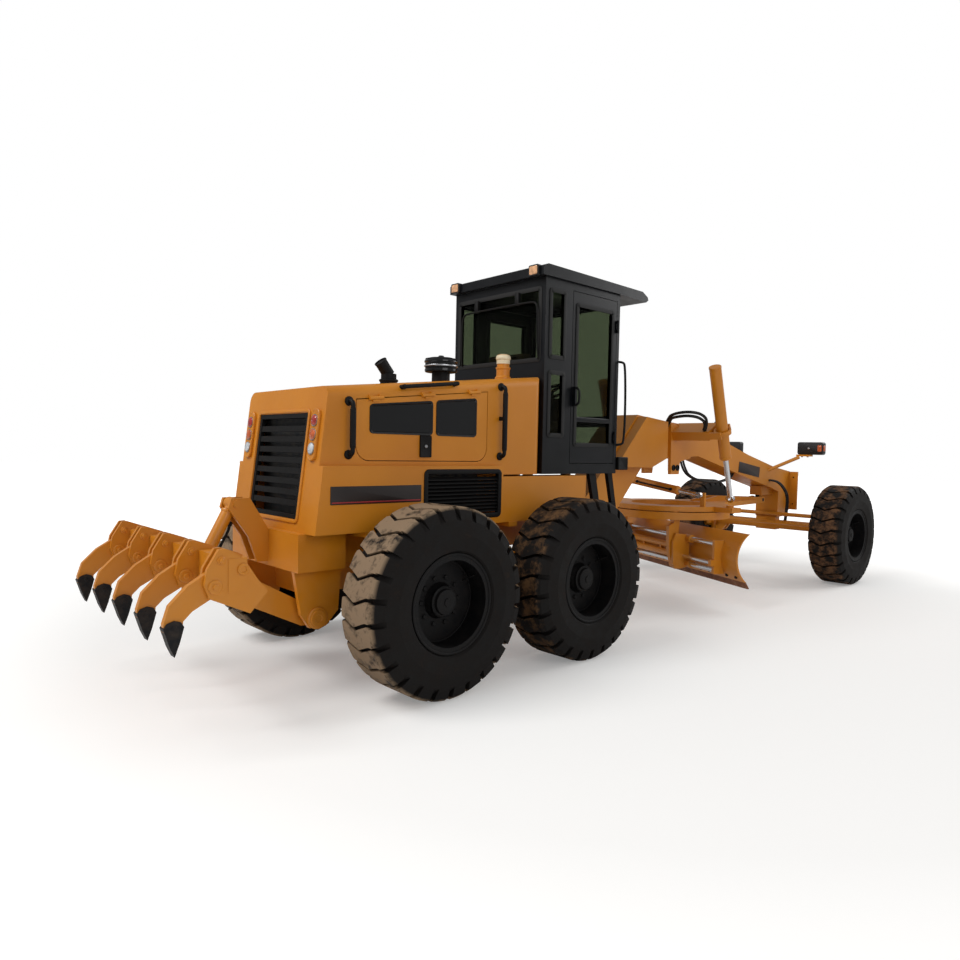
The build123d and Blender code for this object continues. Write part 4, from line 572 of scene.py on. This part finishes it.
clip = plate("grab_rail_clip_right", 0.030, 0.034, 0.048, 0.006, [(0.004, 0.004)],
             facing((GRAB_RAILS[1][0], HOOD_SIDE, CLIP_Z), RIGHT))
settle(rounded(clip, 0.003), "chassis", SATIN_BLACK, both=True)

# Hood top: precleaner bowl with its band, exhaust collar and mouth, and pale breather cap
CLEANER, STUB, BREATHER = (-0.214, -0.400), (-0.735, -0.400), (0.500, -0.400)  # x, y
cleaner_z = hood_top(CLEANER[0])
BOWL_PROFILE = [
    (0.134, 0.082), (0.134, 0.10), (0.126, 0.108), (0.131, 0.15), (0.138, 0.156), (0.138, 0.166),
    (0.128, 0.180), (0.10, 0.192), (0.03, 0.198), (0.02, 0.212), (0.012, 0.214),
]
bowl = turned("precleaner_bowl", lifted(BOWL_PROFILE, cleaner_z), Matrix.Translation((*CLEANER, 0)), 40)
settle(bowl, "chassis", SMOKED)
band = hollowed(turned("precleaner_band", [(0.139, 0), (0.139, 0.012)], sides=40), 0.012)
put(band, Matrix.Translation((*CLEANER, cleaner_z + 0.118)))
settle(rounded(band, 0.002), "chassis", BRIGHT)
stub_z = hood_top(STUB[0])
COLLAR_PROFILE = [(0.066, -0.002), (0.066, 0.012), (0.074, 0.018), (0.074, 0.030), (0.062, 0.036)]
collar = turned("exhaust_collar", lifted(COLLAR_PROFILE, stub_z), Matrix.Translation((*STUB, 0)), 32)
settle(collar, "chassis", SATIN_BLACK)
MOUTH_BACK, MOUTH_RISE, MOUTH_WAY = 0.075, 0.160, (-0.075, 0, 0.09)
mouth = turned("exhaust_mouth", [(0.051, 0), (0.051, 0.008), (0.045, 0.009), (0.043, -0.03)],
               facing((STUB[0] - MOUTH_BACK, STUB[1], stub_z + MOUTH_RISE), MOUTH_WAY, (0, 1, 0)), 32)
settle(mouth, "chassis", SATIN_BLACK)
breather = turned("breather_cap",
                  [(0.060, 2.520), (0.060, 2.555), (0.066, 2.562), (0.066, 2.584), (0.058, 2.596),
                   (0.036, 2.606), (0.01, 2.610)], Matrix.Translation((*BREATHER, 0)), 32)
settle(breather, "chassis", CREAM_CAP)
breather_neck = turned("breather_neck",
                       [(0.072, 2.375), (0.072, 2.400), (0.060, 2.415), (0.060, 2.47), (0.066, 2.476),
                        (0.066, 2.49), (0.058, 2.495)], Matrix.Translation((*BREATHER, 0)), 32)
settle(breather_neck, "chassis", YELLOW)

# Rear face: raised rim round the grille, and tail lamps with three round lenses each
REAR_FOOT, REAR_LEAN = (-1.514, 1.14), 0.1224
REAR_OUT = Vector((-1, 0, REAR_LEAN)).normalized()
REAR_UP = Vector((REAR_LEAN, 0, 1)).normalized()


def rear_point(y, up_slope, out=0.0):
    """A point on the leaning rear face, so far up its slope and out from it."""
    return Vector((REAR_FOOT[0], y, REAR_FOOT[1])) + REAR_UP * up_slope + REAR_OUT * out


grille_rim = hollowed(plate("grille_rim", 0.83, 0.83, 0.016, 0.045), 0.026)
put(grille_rim, facing(rear_point(0, 0.475, -0.004), REAR_OUT))
settle(rounded(grille_rim, 0.006, 3), "chassis", YELLOW)

TAIL_Y, TAIL_UP = 0.512, 0.70
housings = joined("lamp_housings", [
    plate("tail_housing", 0.102, 0.372, 0.020, 0.045, [(0.007, 0.005), (0.006, -0.004)],
          facing(rear_point(side * TAIL_Y, TAIL_UP, -0.002), REAR_OUT)) for side in SIDES])
settle(rounded(housings, 0.002), "chassis", YELLOW)
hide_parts("lamps")
ROOF_LAMP_Y, ROOF_LAMP_Z = 0.541, 3.365
roof_housings = joined("roof_housings", [
    plate("roof_housing", 0.118, 0.098, 0.050, 0.014, [(0.008, 0), (0.004, -0.006)],
          facing((0.760, side * ROOF_LAMP_Y, ROOF_LAMP_Z), BACK)) for side in SIDES])
settle(rounded(roof_housings, 0.002), "chassis", LAMP_SHELL)

TAIL_LENSES = [("stop", 0.80, "RED"), ("turn", 0.70, "ORANGE"), ("reverse", 0.60, "CLEAR")]
LENS_FINISH = {"RED": LENS_RED, "ORANGE": LENS_ORANGE, "CLEAR": LENS_CLEAR}
for lens_name, up_slope, colour in TAIL_LENSES:
    lens_place = facing(rear_point(-TAIL_Y, up_slope, 0.018), REAR_OUT)
    lens = turned(f"tail_{lens_name}_lens_right",
                  [(0.039, 0), (0.039, 0.006), (0.036, 0.012), (0.026, 0.017), (0.012, 0.020),
                   (0.010, 0.018)], lens_place, 28)
    settle(lens, "chassis", LENS_FINISH[colour], both=True)
    bezel = hollowed(turned(f"tail_{lens_name}_bezel_right", [(0.043, 0), (0.043, 0.008)], sides=28), 0.005)
    put(bezel, lens_place)
    settle(bezel, "chassis", BRIGHT, both=True)
roof_lens = plate("roof_lens_right", 0.094, 0.074, 0.006, 0.012, [(0.004, 0.003), (0.004, 0.001)],
                  facing((0.713, -ROOF_LAMP_Y, ROOF_LAMP_Z), BACK))
settle(roof_lens, "chassis", LENS_AMBER, both=True)

# Cab: rubber seals round every pane, door pulls, rear window hoop and corner handrail
SEAL = 0.020
CAB_SEALS = [  # name, middle, outward, width, height, body, on both sides
    ("seal_rear", (0.800, 0, 2.900), BACK, 1.11, 0.64, "chassis", False),
    ("seal_front", (1.890, 0, 2.660), AHEAD, 1.08, 1.12, "chassis", False),
    ("seal_front_low_right", (1.890, -0.300, 1.865), AHEAD, 0.48, 0.33, "chassis", True),
    ("seal_quarter_top_right", (0.9675, -0.620, 2.910), RIGHT, 0.195, 0.60, "chassis", True),
    ("seal_quarter_low_right", (0.9675, -0.620, 2.185), RIGHT, 0.195, 0.57, "chassis", True),
    ("seal_door_right", (1.510, -0.620, 2.475), RIGHT, 0.54, 1.31, "cab_door_right", True),
]
for seal_name, middle, outward, width, height, body, both in CAB_SEALS:
    seal = hollowed(plate(seal_name, width + 2 * SEAL, height + 2 * SEAL, 0.008, 0.035), 2 * SEAL)
    put(seal, facing(Vector(middle) - Vector(outward) * 0.002, outward))
    settle(rounded(seal, 0.003), body, RUBBER_SEAL, both=both)

door_mid = plate("door_mid_bar_right", 0.56, 0.045, 0.014, 0.004, [(0.006, 0.004)],
                 facing((1.510, -0.607, 2.06), RIGHT))
settle(rounded(door_mid, 0.003), "cab_door_right", CAB_BLUE_BLACK, both=True)
PULL_X = 1.209
PULL_LINE = [(-0.655, 2.19), (-0.690, 2.20), (-0.695, 2.27), (-0.690, 2.34), (-0.655, 2.35)]  # y, z
door_pull = pipe("door_pull_right", [(PULL_X, y, z) for y, z in PULL_LINE], 0.011)
settle(door_pull, "cab_door_right", SATIN_BLACK, both=True)

CORNER_LINE = [
    (1.880, -0.60, 2.66), (1.915, -0.655, 2.66), (1.925, -0.675, 2.62), (1.940, -0.680, 2.25),
    (1.940, -0.675, 1.87), (1.920, -0.655, 1.83), (1.880, -0.60, 1.83),
]
corner_rail = pipe("corner_handrail_right", CORNER_LINE, 0.012)
settle(corner_rail, "chassis", SATIN_BLACK, both=True)
HOOP_LINE = [
    (0.792, 0.495, 2.59), (0.774, 0.490, 2.62), (0.770, 0.487, 2.98), (0.770, 0.470, 3.09),
    (0.770, 0.380, 3.105), (0.770, -0.450, 3.105), (0.770, -0.540, 3.09), (0.770, -0.550, 2.98),
    (0.774, -0.552, 2.62), (0.792, -0.555, 2.59),
]
TAB_YS = (0.275, -0.284)
hoop = pipe("hoop", HOOP_LINE, 0.009)
tabs = [plate("tab", 0.050, 0.115, 0.034, 0.012, [(0.006, 0.004)], facing((0.800, y, 3.155), BACK))
        for y in TAB_YS]
settle(joined("rear_window_hoop", [hoop] + tabs), "chassis", SATIN_BLACK)
corner_box = plate("corner_box_right", 0.16, 0.13, 0.055, 0.012, [(0.010, 0.004), (0.012, -0.005)],
                   facing((1.985, -0.585, 1.645), RIGHT))
settle(rounded(corner_box, 0.004), "chassis", SATIN_BLACK)

# Wheels: ring, hub cap, nuts and valve, made once for a right wheel and copied to all six
wheel_frame = facing((0, 0, 0), RIGHT)
NUTS, NUT_CIRCLE, NUT_SEAT = 10, 0.168, 0.030
nut_places = []
for number in range(NUTS):
    turn = math.tau * number / NUTS
    seat = Matrix.Translation((NUT_CIRCLE * math.cos(turn), NUT_CIRCLE * math.sin(turn), NUT_SEAT))
    nut_places.append(wheel_frame @ seat)
nut_ring = repeated("nuts", bolt_pattern(0.017), nut_places)
hub_cap = turned("hub_cap",
                 [(0.112, 0.074), (0.112, 0.092), (0.102, 0.099), (0.094, 0.099), (0.088, 0.118),
                  (0.060, 0.128), (0.030, 0.128), (0.028, 0.134), (0.012, 0.134)], wheel_frame, 40)
disc_lip = hollowed(turned("lip", [(0.300, 0.028), (0.300, 0.040)], sides=48), 0.014)
put(rounded(disc_lip, 0.004), wheel_frame)
lock_ring = hollowed(turned("ring", [(0.357, 0.176), (0.357, 0.197)], sides=64), 0.020)
put(rounded(lock_ring, 0.007, 3), wheel_frame)
valve = pipe("valve", [(0.22, -0.03, 0.12), (0.235, -0.09, 0.15), (0.25, -0.13, 0.17)], 0.006)
wheel_trim = joined("wheel_trim_pattern", [hub_cap, nut_ring, disc_lip, lock_ring, valve])
for axle, x in WHEELS.items():
    for side in SIDES:
        wheel = f"wheel_{axle}_{SIDE_NAME[side]}"
        trim = own_copy(wheel_trim, f"{wheel}_trim")
        half_turn = Matrix.Rotation(0 if side < 0 else math.pi, 4, "Z")
        put(trim, Matrix.Translation((x, side * WHEEL_Y, WHEEL_Z)) @ half_turn)
        settle(trim, wheel, RIM_BLACK)
bpy.data.objects.remove(wheel_trim)

# Headlamps: round-cornered shells with a clear lens to the front and an amber marker at the outer end
LAMP_X, LAMP_Y, LAMP_Z = 6.480, 0.620, 1.870
MARKER_Z = 1.872
shells = []
for side in SIDES:
    shell = plate("headlamp_shell", 0.36, 0.18, 0.098, 0.030, [(0.006, 0.006), (0.010, 0), (0.004, -0.008)],
                  facing((LAMP_X - 0.055, side * LAMP_Y, LAMP_Z), AHEAD))
    shells.append(rounded(shell, 0.006, 3))
headlamp_shells = joined("headlamp_shells", shells)
settle(headlamp_shells, "front", LAMP_SHELL)
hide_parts("headlamps")
headlamp_lens = plate("headlamp_lens_right", 0.325, 0.145, 0.010, 0.022, [(0.010, 0.004), (0.014, -0.002)],
                      facing((6.524, -LAMP_Y, LAMP_Z), AHEAD))
settle(headlamp_lens, "front", LENS_CLEAR, both=True)
marker = plate("marker_lens_right", 0.055, 0.090, 0.012, 0.014, [(0.006, 0.004), (0.008, 0.002)],
               facing((6.428, -0.755, MARKER_Z), BACK))
settle(marker, "front", LENS_ORANGE, both=True)
marker_side = plate("marker_side_right", 0.070, 0.080, 0.008, 0.012, [(0.006, 0.003)],
                    facing((6.475, -0.797, MARKER_Z), RIGHT))
settle(marker_side, "front", LENS_ORANGE, both=True)
BACK_BOLT, BRACKET_BOLTS = (6.426, -0.60, LAMP_Z), [(6.45, -0.50, 1.7545), (6.45, -0.58, 1.7545)]
lamp_bolt_places = [facing(BACK_BOLT, BACK)] + [facing(point, DOWN, AHEAD) for point in BRACKET_BOLTS]
lamp_bolts = repeated("headlamp_bolts_right", bolt_pattern(0.013), lamp_bolt_places)
settle(lamp_bolts, "front", BRIGHT, both=True)

# Blade: bright skins on its rails and side-shift rod, and bolt heads along its low edge
BLADE_PLACE = Matrix.Translation((4.13, 0.20, 0)) @ Matrix.Rotation(math.radians(-24), 4, "Z")
ALONG_Y = Matrix.Rotation(-math.pi / 2, 4, "X")
BLADE_RODS = [  # local x, z, from y, to y, radius
    (-0.160, 0.440, -1.213, 1.213, 0.0282), (-0.160, 0.740, -1.213, 1.213, 0.0282),
    (-0.215, 0.525, -1.209, 0.000, 0.0202),
]
skins = [turned("skin", [(radius, y_from), (radius, y_to)],
                BLADE_PLACE @ Matrix.Translation((x, 0, z)) @ ALONG_Y, 48)
         for x, z, y_from, y_to, radius in BLADE_RODS]
settle(joined("blade_rail_chrome", skins), "blade", CHROME)
BACK_CENTRE, BACK_RADIUS = (0.2213, 0.5977), 0.3333  # the curve of the moldboard's back: x, z and radius
EDGE_BOLTS, FIRST_BOLT_Y, BOLT_PITCH, EDGE_BOLT_Z = 19, -1.44, 0.16, 0.392
drop = BACK_CENTRE[1] - EDGE_BOLT_Z
reach = math.sqrt(BACK_RADIUS ** 2 - drop ** 2)
edge_bolt_places = [
    BLADE_PLACE @ facing((BACK_CENTRE[0] - reach, FIRST_BOLT_Y + BOLT_PITCH * number, EDGE_BOLT_Z),
                         (-reach, 0, -drop))
    for number in range(EDGE_BOLTS)
]
edge_bolts = repeated("blade_edge_bolts", bolt_pattern(0.017), edge_bolt_places)
settle(edge_bolts, "blade", FORGED_BLACK)

# Cylinders: glands, end caps, ports and the steel pipe down each barrel
CYLINDERS = [  # body, from, towards, radius, cap end, gland end, pipe on it
    ("lift_barrel_right", (3.64, -0.80, 2.02), (4.061, -0.698, 1.23), 0.065, -0.800, 0.350, (-0.74, -0.14)),
    ("lift_barrel_left", (3.64, 0.80, 2.02), (4.2385, 1.0936, 1.23), 0.065, -0.800, 0.350, (-0.74, -0.14)),
    ("centre_shift_barrel", (3.80, 0.62, 1.42), (3.80, -0.43, 1.26), 0.052, 0.072, 0.780, (0.70, 0.20)),
    ("ripper_barrel", (-1.81, 0, 1.33), (-2.09, 0, 0.79), 0.045, 0.055, 0.556, (0.50, 0.14)),
]
PIPE_STAND, PIPE_RADIUS, ELBOW, PORT_SINK = 0.020, 0.010, 0.04, 0.006
PORT_PROFILE = [(0.019, 0), (0.019, 0.022), (0.015, 0.024), (0.015, 0.030)]
for body, start, towards, radius, cap_end, gland_end, (port_from, port_to) in CYLINDERS:
    line = Vector(towards) - Vector(start)
    up_line = (0, 1, 0) if abs(line.normalized().y) < 0.5 else (1, 0, 0)
    place = facing(start, line, up_line)
    side_way = (-1, 0) if up_line[1] else (0, -1)
    gland = turned("gland", [(radius + 0.004, gland_end - 0.030), (radius + 0.004, gland_end - 0.010),
                             (radius, gland_end - 0.006), (radius - 0.006, gland_end + 0.004)], place, 32)
    cap = turned("cap", [(radius + 0.003, cap_end + 0.002), (radius + 0.003, cap_end + 0.022)], place, 32)
    settle(rounded(joined(f"{body}_rings", [gland, cap]), 0.002), body, YELLOW)
    off = radius + PIPE_STAND
    onward = ELBOW if port_to > port_from else -ELBOW
    pipe_line = [  # out from the barrel's middle, along it
        (radius - 0.005, port_from), (off + 0.004, port_from), (off + 0.006, port_from + onward),
        (off, (port_from + port_to) / 2), (off + 0.006, port_to), (radius - 0.005, port_to),
    ]
    pipe_points = [place @ Vector((side_way[0] * out, side_way[1] * out, along)) for out, along in pipe_line]
    settle(pipe(f"{body}_pipe", pipe_points, PIPE_RADIUS), body, SATIN_BLACK)
    port_turn = facing((0, 0, 0), (*side_way, 0), (0, 0, 1))
    port_out = radius - PORT_SINK
    ports = []
    for along in (port_from, port_to):
        seat = Matrix.Translation((side_way[0] * port_out, side_way[1] * port_out, along))
        ports.append(turned("port", PORT_PROFILE, place @ seat @ port_turn, 16))
    settle(joined(f"{body}_ports", ports), body, SATIN_BLACK)

# Ripper: shank pins on their bosses, pins through the boots, and the big caps on its pivot
SHANK_PITCH, SHANK_FACE = 0.46, 0.046
SHANK_YS = [SHANK_PITCH * (number - 2) for number in range(5)]
TOP_PIN, LOW_BOSS, BOOT_PIN = (-2.287, 1.080), (-2.322, 0.928), (-2.547, 0.722)  # x, z


def on_shanks(x, z):
    """Places on both faces of every shank."""
    return [facing((x, y + side * SHANK_FACE, z), (0, side, 0)) for y in SHANK_YS for side in SIDES]


top_pin = turned("top_pin",
                 [(0.025, -0.001), (0.025, 0.006), (0.021, 0.009), (0.014, 0.009), (0.014, 0.017),
                  (0.010, 0.020)], sides=20)
low_boss = turned("low_boss",
                  [(0.042, -0.001), (0.042, 0.006), (0.037, 0.010), (0.018, 0.010), (0.017, 0.017),
                   (0.013, 0.020)], sides=28)
pin_heads = joined("ripper_pin_heads", [repeated("top_pins", top_pin, on_shanks(*TOP_PIN)),
                                        repeated("low_bosses", low_boss, on_shanks(*LOW_BOSS))])
settle(pin_heads, "ripper", YELLOW)
boot_pin = turned("boot_pin", [(0.013, -0.036), (0.013, 0.036)], sides=16)
boot_pins = [facing((BOOT_PIN[0], y, BOOT_PIN[1]), RIGHT) for y in SHANK_YS]
settle(rounded(repeated("ripper_boot_pins", boot_pin, boot_pins), 0.002), "ripper", TIP_BLACK)
END_BOSS, PIVOT_CAP = (-2.158, -0.969, 1.018), (-1.380, -0.480, 0.520)
end_boss = turned("ripper_end_boss_right",
                  [(0.034, -0.001), (0.034, 0.010), (0.030, 0.014), (0.020, 0.014), (0.017, 0.009)],
                  facing(END_BOSS, RIGHT), 32)
settle(end_boss, "ripper", YELLOW, both=True)
pivot_cap = turned("ripper_pivot_cap_right",
                   [(0.078, 0), (0.078, 0.010), (0.072, 0.014), (0.058, 0.014), (0.055, 0.022),
                    (0.030, 0.022), (0.026, 0.016)], facing(PIVOT_CAP, RIGHT), 36)
settle(pivot_cap, "chassis", YELLOW, both=True)

# Front frame: bare plate, lock sockets in the saddle, nose bolts, and hoses under the beam and at the nose
PLATE_ON_BEAM, BEAM_SLOPE = (5.540, -0.170, 1.555), 0.134
beam_plate = plate("bare_front_plate_right", 0.600, 0.145, 0.004, 0.004, [(0.003, 0.001)],
                   facing(PLATE_ON_BEAM, RIGHT, (BEAM_SLOPE, 0, 1)))
settle(beam_plate, "front", PLATE_DARK, both=True)
SOCKET_XS, SOCKET_Y, SOCKET_Z = (3.575, 3.660), -0.210, 1.585
socket = turned("socket",
                [(0.036, 0), (0.036, 0.008), (0.032, 0.012), (0.022, 0.012), (0.020, 0.002)], sides=28)
sockets = repeated("saddle_lock_sockets_right", socket,
                   [facing((x, SOCKET_Y, SOCKET_Z), RIGHT) for x in SOCKET_XS])
settle(sockets, "front", SATIN_BLACK, both=True)
NOSE_FACE, NOSE_BOLT_YS, NOSE_BOLT_ZS = 6.830, (-0.23, 0.23), (1.035, 1.435)
nose_bolt_places = [facing((NOSE_FACE, y, z), AHEAD) for y in NOSE_BOLT_YS for z in NOSE_BOLT_ZS]
nose_bolts = repeated("nose_bolts", bolt_pattern(0.020), nose_bolt_places)
settle(nose_bolts, "front", FORGED_BLACK)
THIN_HOSE, THICK_HOSE = 0.013, 0.017
BEAM_HOSE_YS, NOSE_HOSE_SHIFTS = (-0.120, -0.085), (-0.012, 0.034)
BEAM_HOSE_LINE = [  # x, z
    (3.900, 1.740), (3.960, 1.560), (4.180, 1.440), (4.600, 1.385), (5.000, 1.400), (5.200, 1.480),
    (5.220, 1.560),
]
NOSE_HOSE_LINE = [
    (6.150, -0.160, 1.400), (6.150, -0.250, 1.400), (6.260, -0.300, 1.340), (6.450, -0.310, 1.180),
    (6.500, -0.280, 0.950), (6.500, -0.260, 0.790),
]
beam_hoses = [pipe("hose", [(x, y, z) for x, z in BEAM_HOSE_LINE], THIN_HOSE) for y in BEAM_HOSE_YS]
settle(joined("beam_hoses", beam_hoses), "front", RUBBER_SEAL)
nose_hoses = [pipe("hose", [(x + shift, y, z) for x, y, z in NOSE_HOSE_LINE], THIN_HOSE)
              for shift in NOSE_HOSE_SHIFTS]
settle(joined("nose_hoses", nose_hoses), "front", RUBBER_SEAL)
SADDLE_HOSES = [  # from the saddle arm round to the beam behind it, and a short loop before the ring
    [(3.54, -0.62, 1.99), (3.50, -0.70, 2.13), (3.34, -0.71, 2.21), (3.20, -0.64, 2.23), (3.18, -0.50, 2.22),
     (3.28, -0.34, 2.20), (3.42, -0.22, 2.17), (3.45, -0.15, 2.08)],
    [(3.58, -0.58, 2.00), (3.53, -0.66, 2.10), (3.37, -0.67, 2.17), (3.24, -0.60, 2.19), (3.22, -0.48, 2.18),
     (3.31, -0.33, 2.17), (3.46, -0.22, 2.14), (3.49, -0.15, 2.06)],
    [(3.70, -0.58, 2.02), (3.80, -0.65, 2.16), (3.87, -0.69, 2.24), (3.94, -0.67, 2.16), (3.90, -0.60, 2.05),
     (3.72, -0.52, 2.05)],
]
saddle_hoses = [pipe("hose", points, THICK_HOSE) for points in SADDLE_HOSES]
settle(joined("saddle_hoses", saddle_hoses), "front", RUBBER_SEAL)

# Floor, light and camera
FLOOR_SIZE, MIDDLE_X = 120, 2.5
FADE_START, FADE_END, NEAR_GLOW = 5.0, 13.0, 0.22  # the floor turns white between these distances
SKY_LIGHT = 0.34
bpy.ops.object.select_all(action="DESELECT")
bpy.ops.mesh.primitive_plane_add(size=FLOOR_SIZE, location=(0, 0, 0))
floor = bpy.context.object
floor.name = "floor"
floor_material, floor_tree, floor_shader, floor_place = finish_material("pale_floor")
floor_shader.inputs["Base Color"].default_value = linear("#E9E8E6")
floor_shader.inputs["Roughness"].default_value = 0.9
light_path = add_node(floor_tree, "ShaderNodeLightPath")
seen = combined(floor_tree, "MAXIMUM", (light_path, "Is Camera Ray"), (light_path, "Is Transmission Ray"))
from_middle = add_node(floor_tree, "ShaderNodeMapping", [("Vector", floor_place, "Object")],
                       in_Location=(-MIDDLE_X, 0, 0))
distance = add_node(floor_tree, "ShaderNodeVectorMath", [("Vector", from_middle, "Vector")],
                    operation="LENGTH")
fade = add_node(floor_tree, "ShaderNodeMapRange", [("Value", distance, "Value")],
                in_From_Min=FADE_START, in_From_Max=FADE_END, in_To_Min=NEAR_GLOW, in_To_Max=1.0)
glow = combined(floor_tree, "MULTIPLY", (seen, "Value"), (fade, "Result"))
floor_tree.links.new(glow.outputs["Value"], floor_shader.inputs["Emission Strength"])
floor_shader.inputs["Emission Color"].default_value = (1, 1, 1, 1)
floor.data.materials.append(floor_material)

world = bpy.data.worlds.new("studio")
bpy.context.scene.world = world
world.use_nodes = True
sky = world.node_tree
background = sky.nodes["Background"]
path = add_node(sky, "ShaderNodeLightPath")
either_ray = combined(sky, "MAXIMUM", (path, "Is Camera Ray"), (path, "Is Transmission Ray"))
level = add_node(sky, "ShaderNodeMapRange", [("Value", either_ray, "Value")],
                 in_To_Min=SKY_LIGHT, in_To_Max=1.0)
sky.links.new(level.outputs["Result"], background.inputs["Strength"])
background.inputs["Color"].default_value = linear("#FFFFFF")

LAMPS = [  # name, place, size, watts, aimed at
    ("key", (-9, 2, 11), 7, 1100, (1.5, 0, 0.8)),
    ("fill", (-2, -12, 6), 8, 330, (1.5, 0, 1.0)),
    ("front", (12, -4, 7), 7, 420, (4.5, 0, 1.0)),
]
for lamp_name, lamp_place, lamp_size, watts, target in LAMPS:
    lamp_data = bpy.data.lights.new(lamp_name, "AREA")
    lamp_data.size = lamp_size
    lamp_data.energy = watts
    lamp = bpy.data.objects.new(lamp_name, lamp_data)
    bpy.context.scene.collection.objects.link(lamp)
    lamp.location = lamp_place
    lamp.rotation_euler = (Vector(target) - Vector(lamp_place)).to_track_quat("-Z", "Y").to_euler()

CAMERA_PLACE = Vector((-3.969, -5.022, 1.755))
CAMERA_YAW, CAMERA_PITCH, CAMERA_ROLL = math.radians(47.62), math.radians(2.43), 0.021
FOCAL_LENGTH, SENSOR_WIDTH = 26.85, 36
forward = Vector((math.cos(CAMERA_PITCH) * math.cos(CAMERA_YAW),
                  math.cos(CAMERA_PITCH) * math.sin(CAMERA_YAW), -math.sin(CAMERA_PITCH)))
level_right = Vector((math.sin(CAMERA_YAW), -math.cos(CAMERA_YAW), 0))
level_up = level_right.cross(forward)
right = level_right * math.cos(CAMERA_ROLL) + level_up * math.sin(CAMERA_ROLL)
up = level_up * math.cos(CAMERA_ROLL) - level_right * math.sin(CAMERA_ROLL)
camera_data = bpy.data.cameras.new("camera")
camera_data.lens = FOCAL_LENGTH
camera_data.sensor_width = SENSOR_WIDTH
camera = bpy.data.objects.new("camera", camera_data)
bpy.context.scene.collection.objects.link(camera)
camera.matrix_world = Matrix((right, up, -forward)).transposed().to_4x4()
camera.location = CAMERA_PLACE
bpy.context.scene.camera = camera
bpy.context.scene.view_settings.view_transform = "Standard"
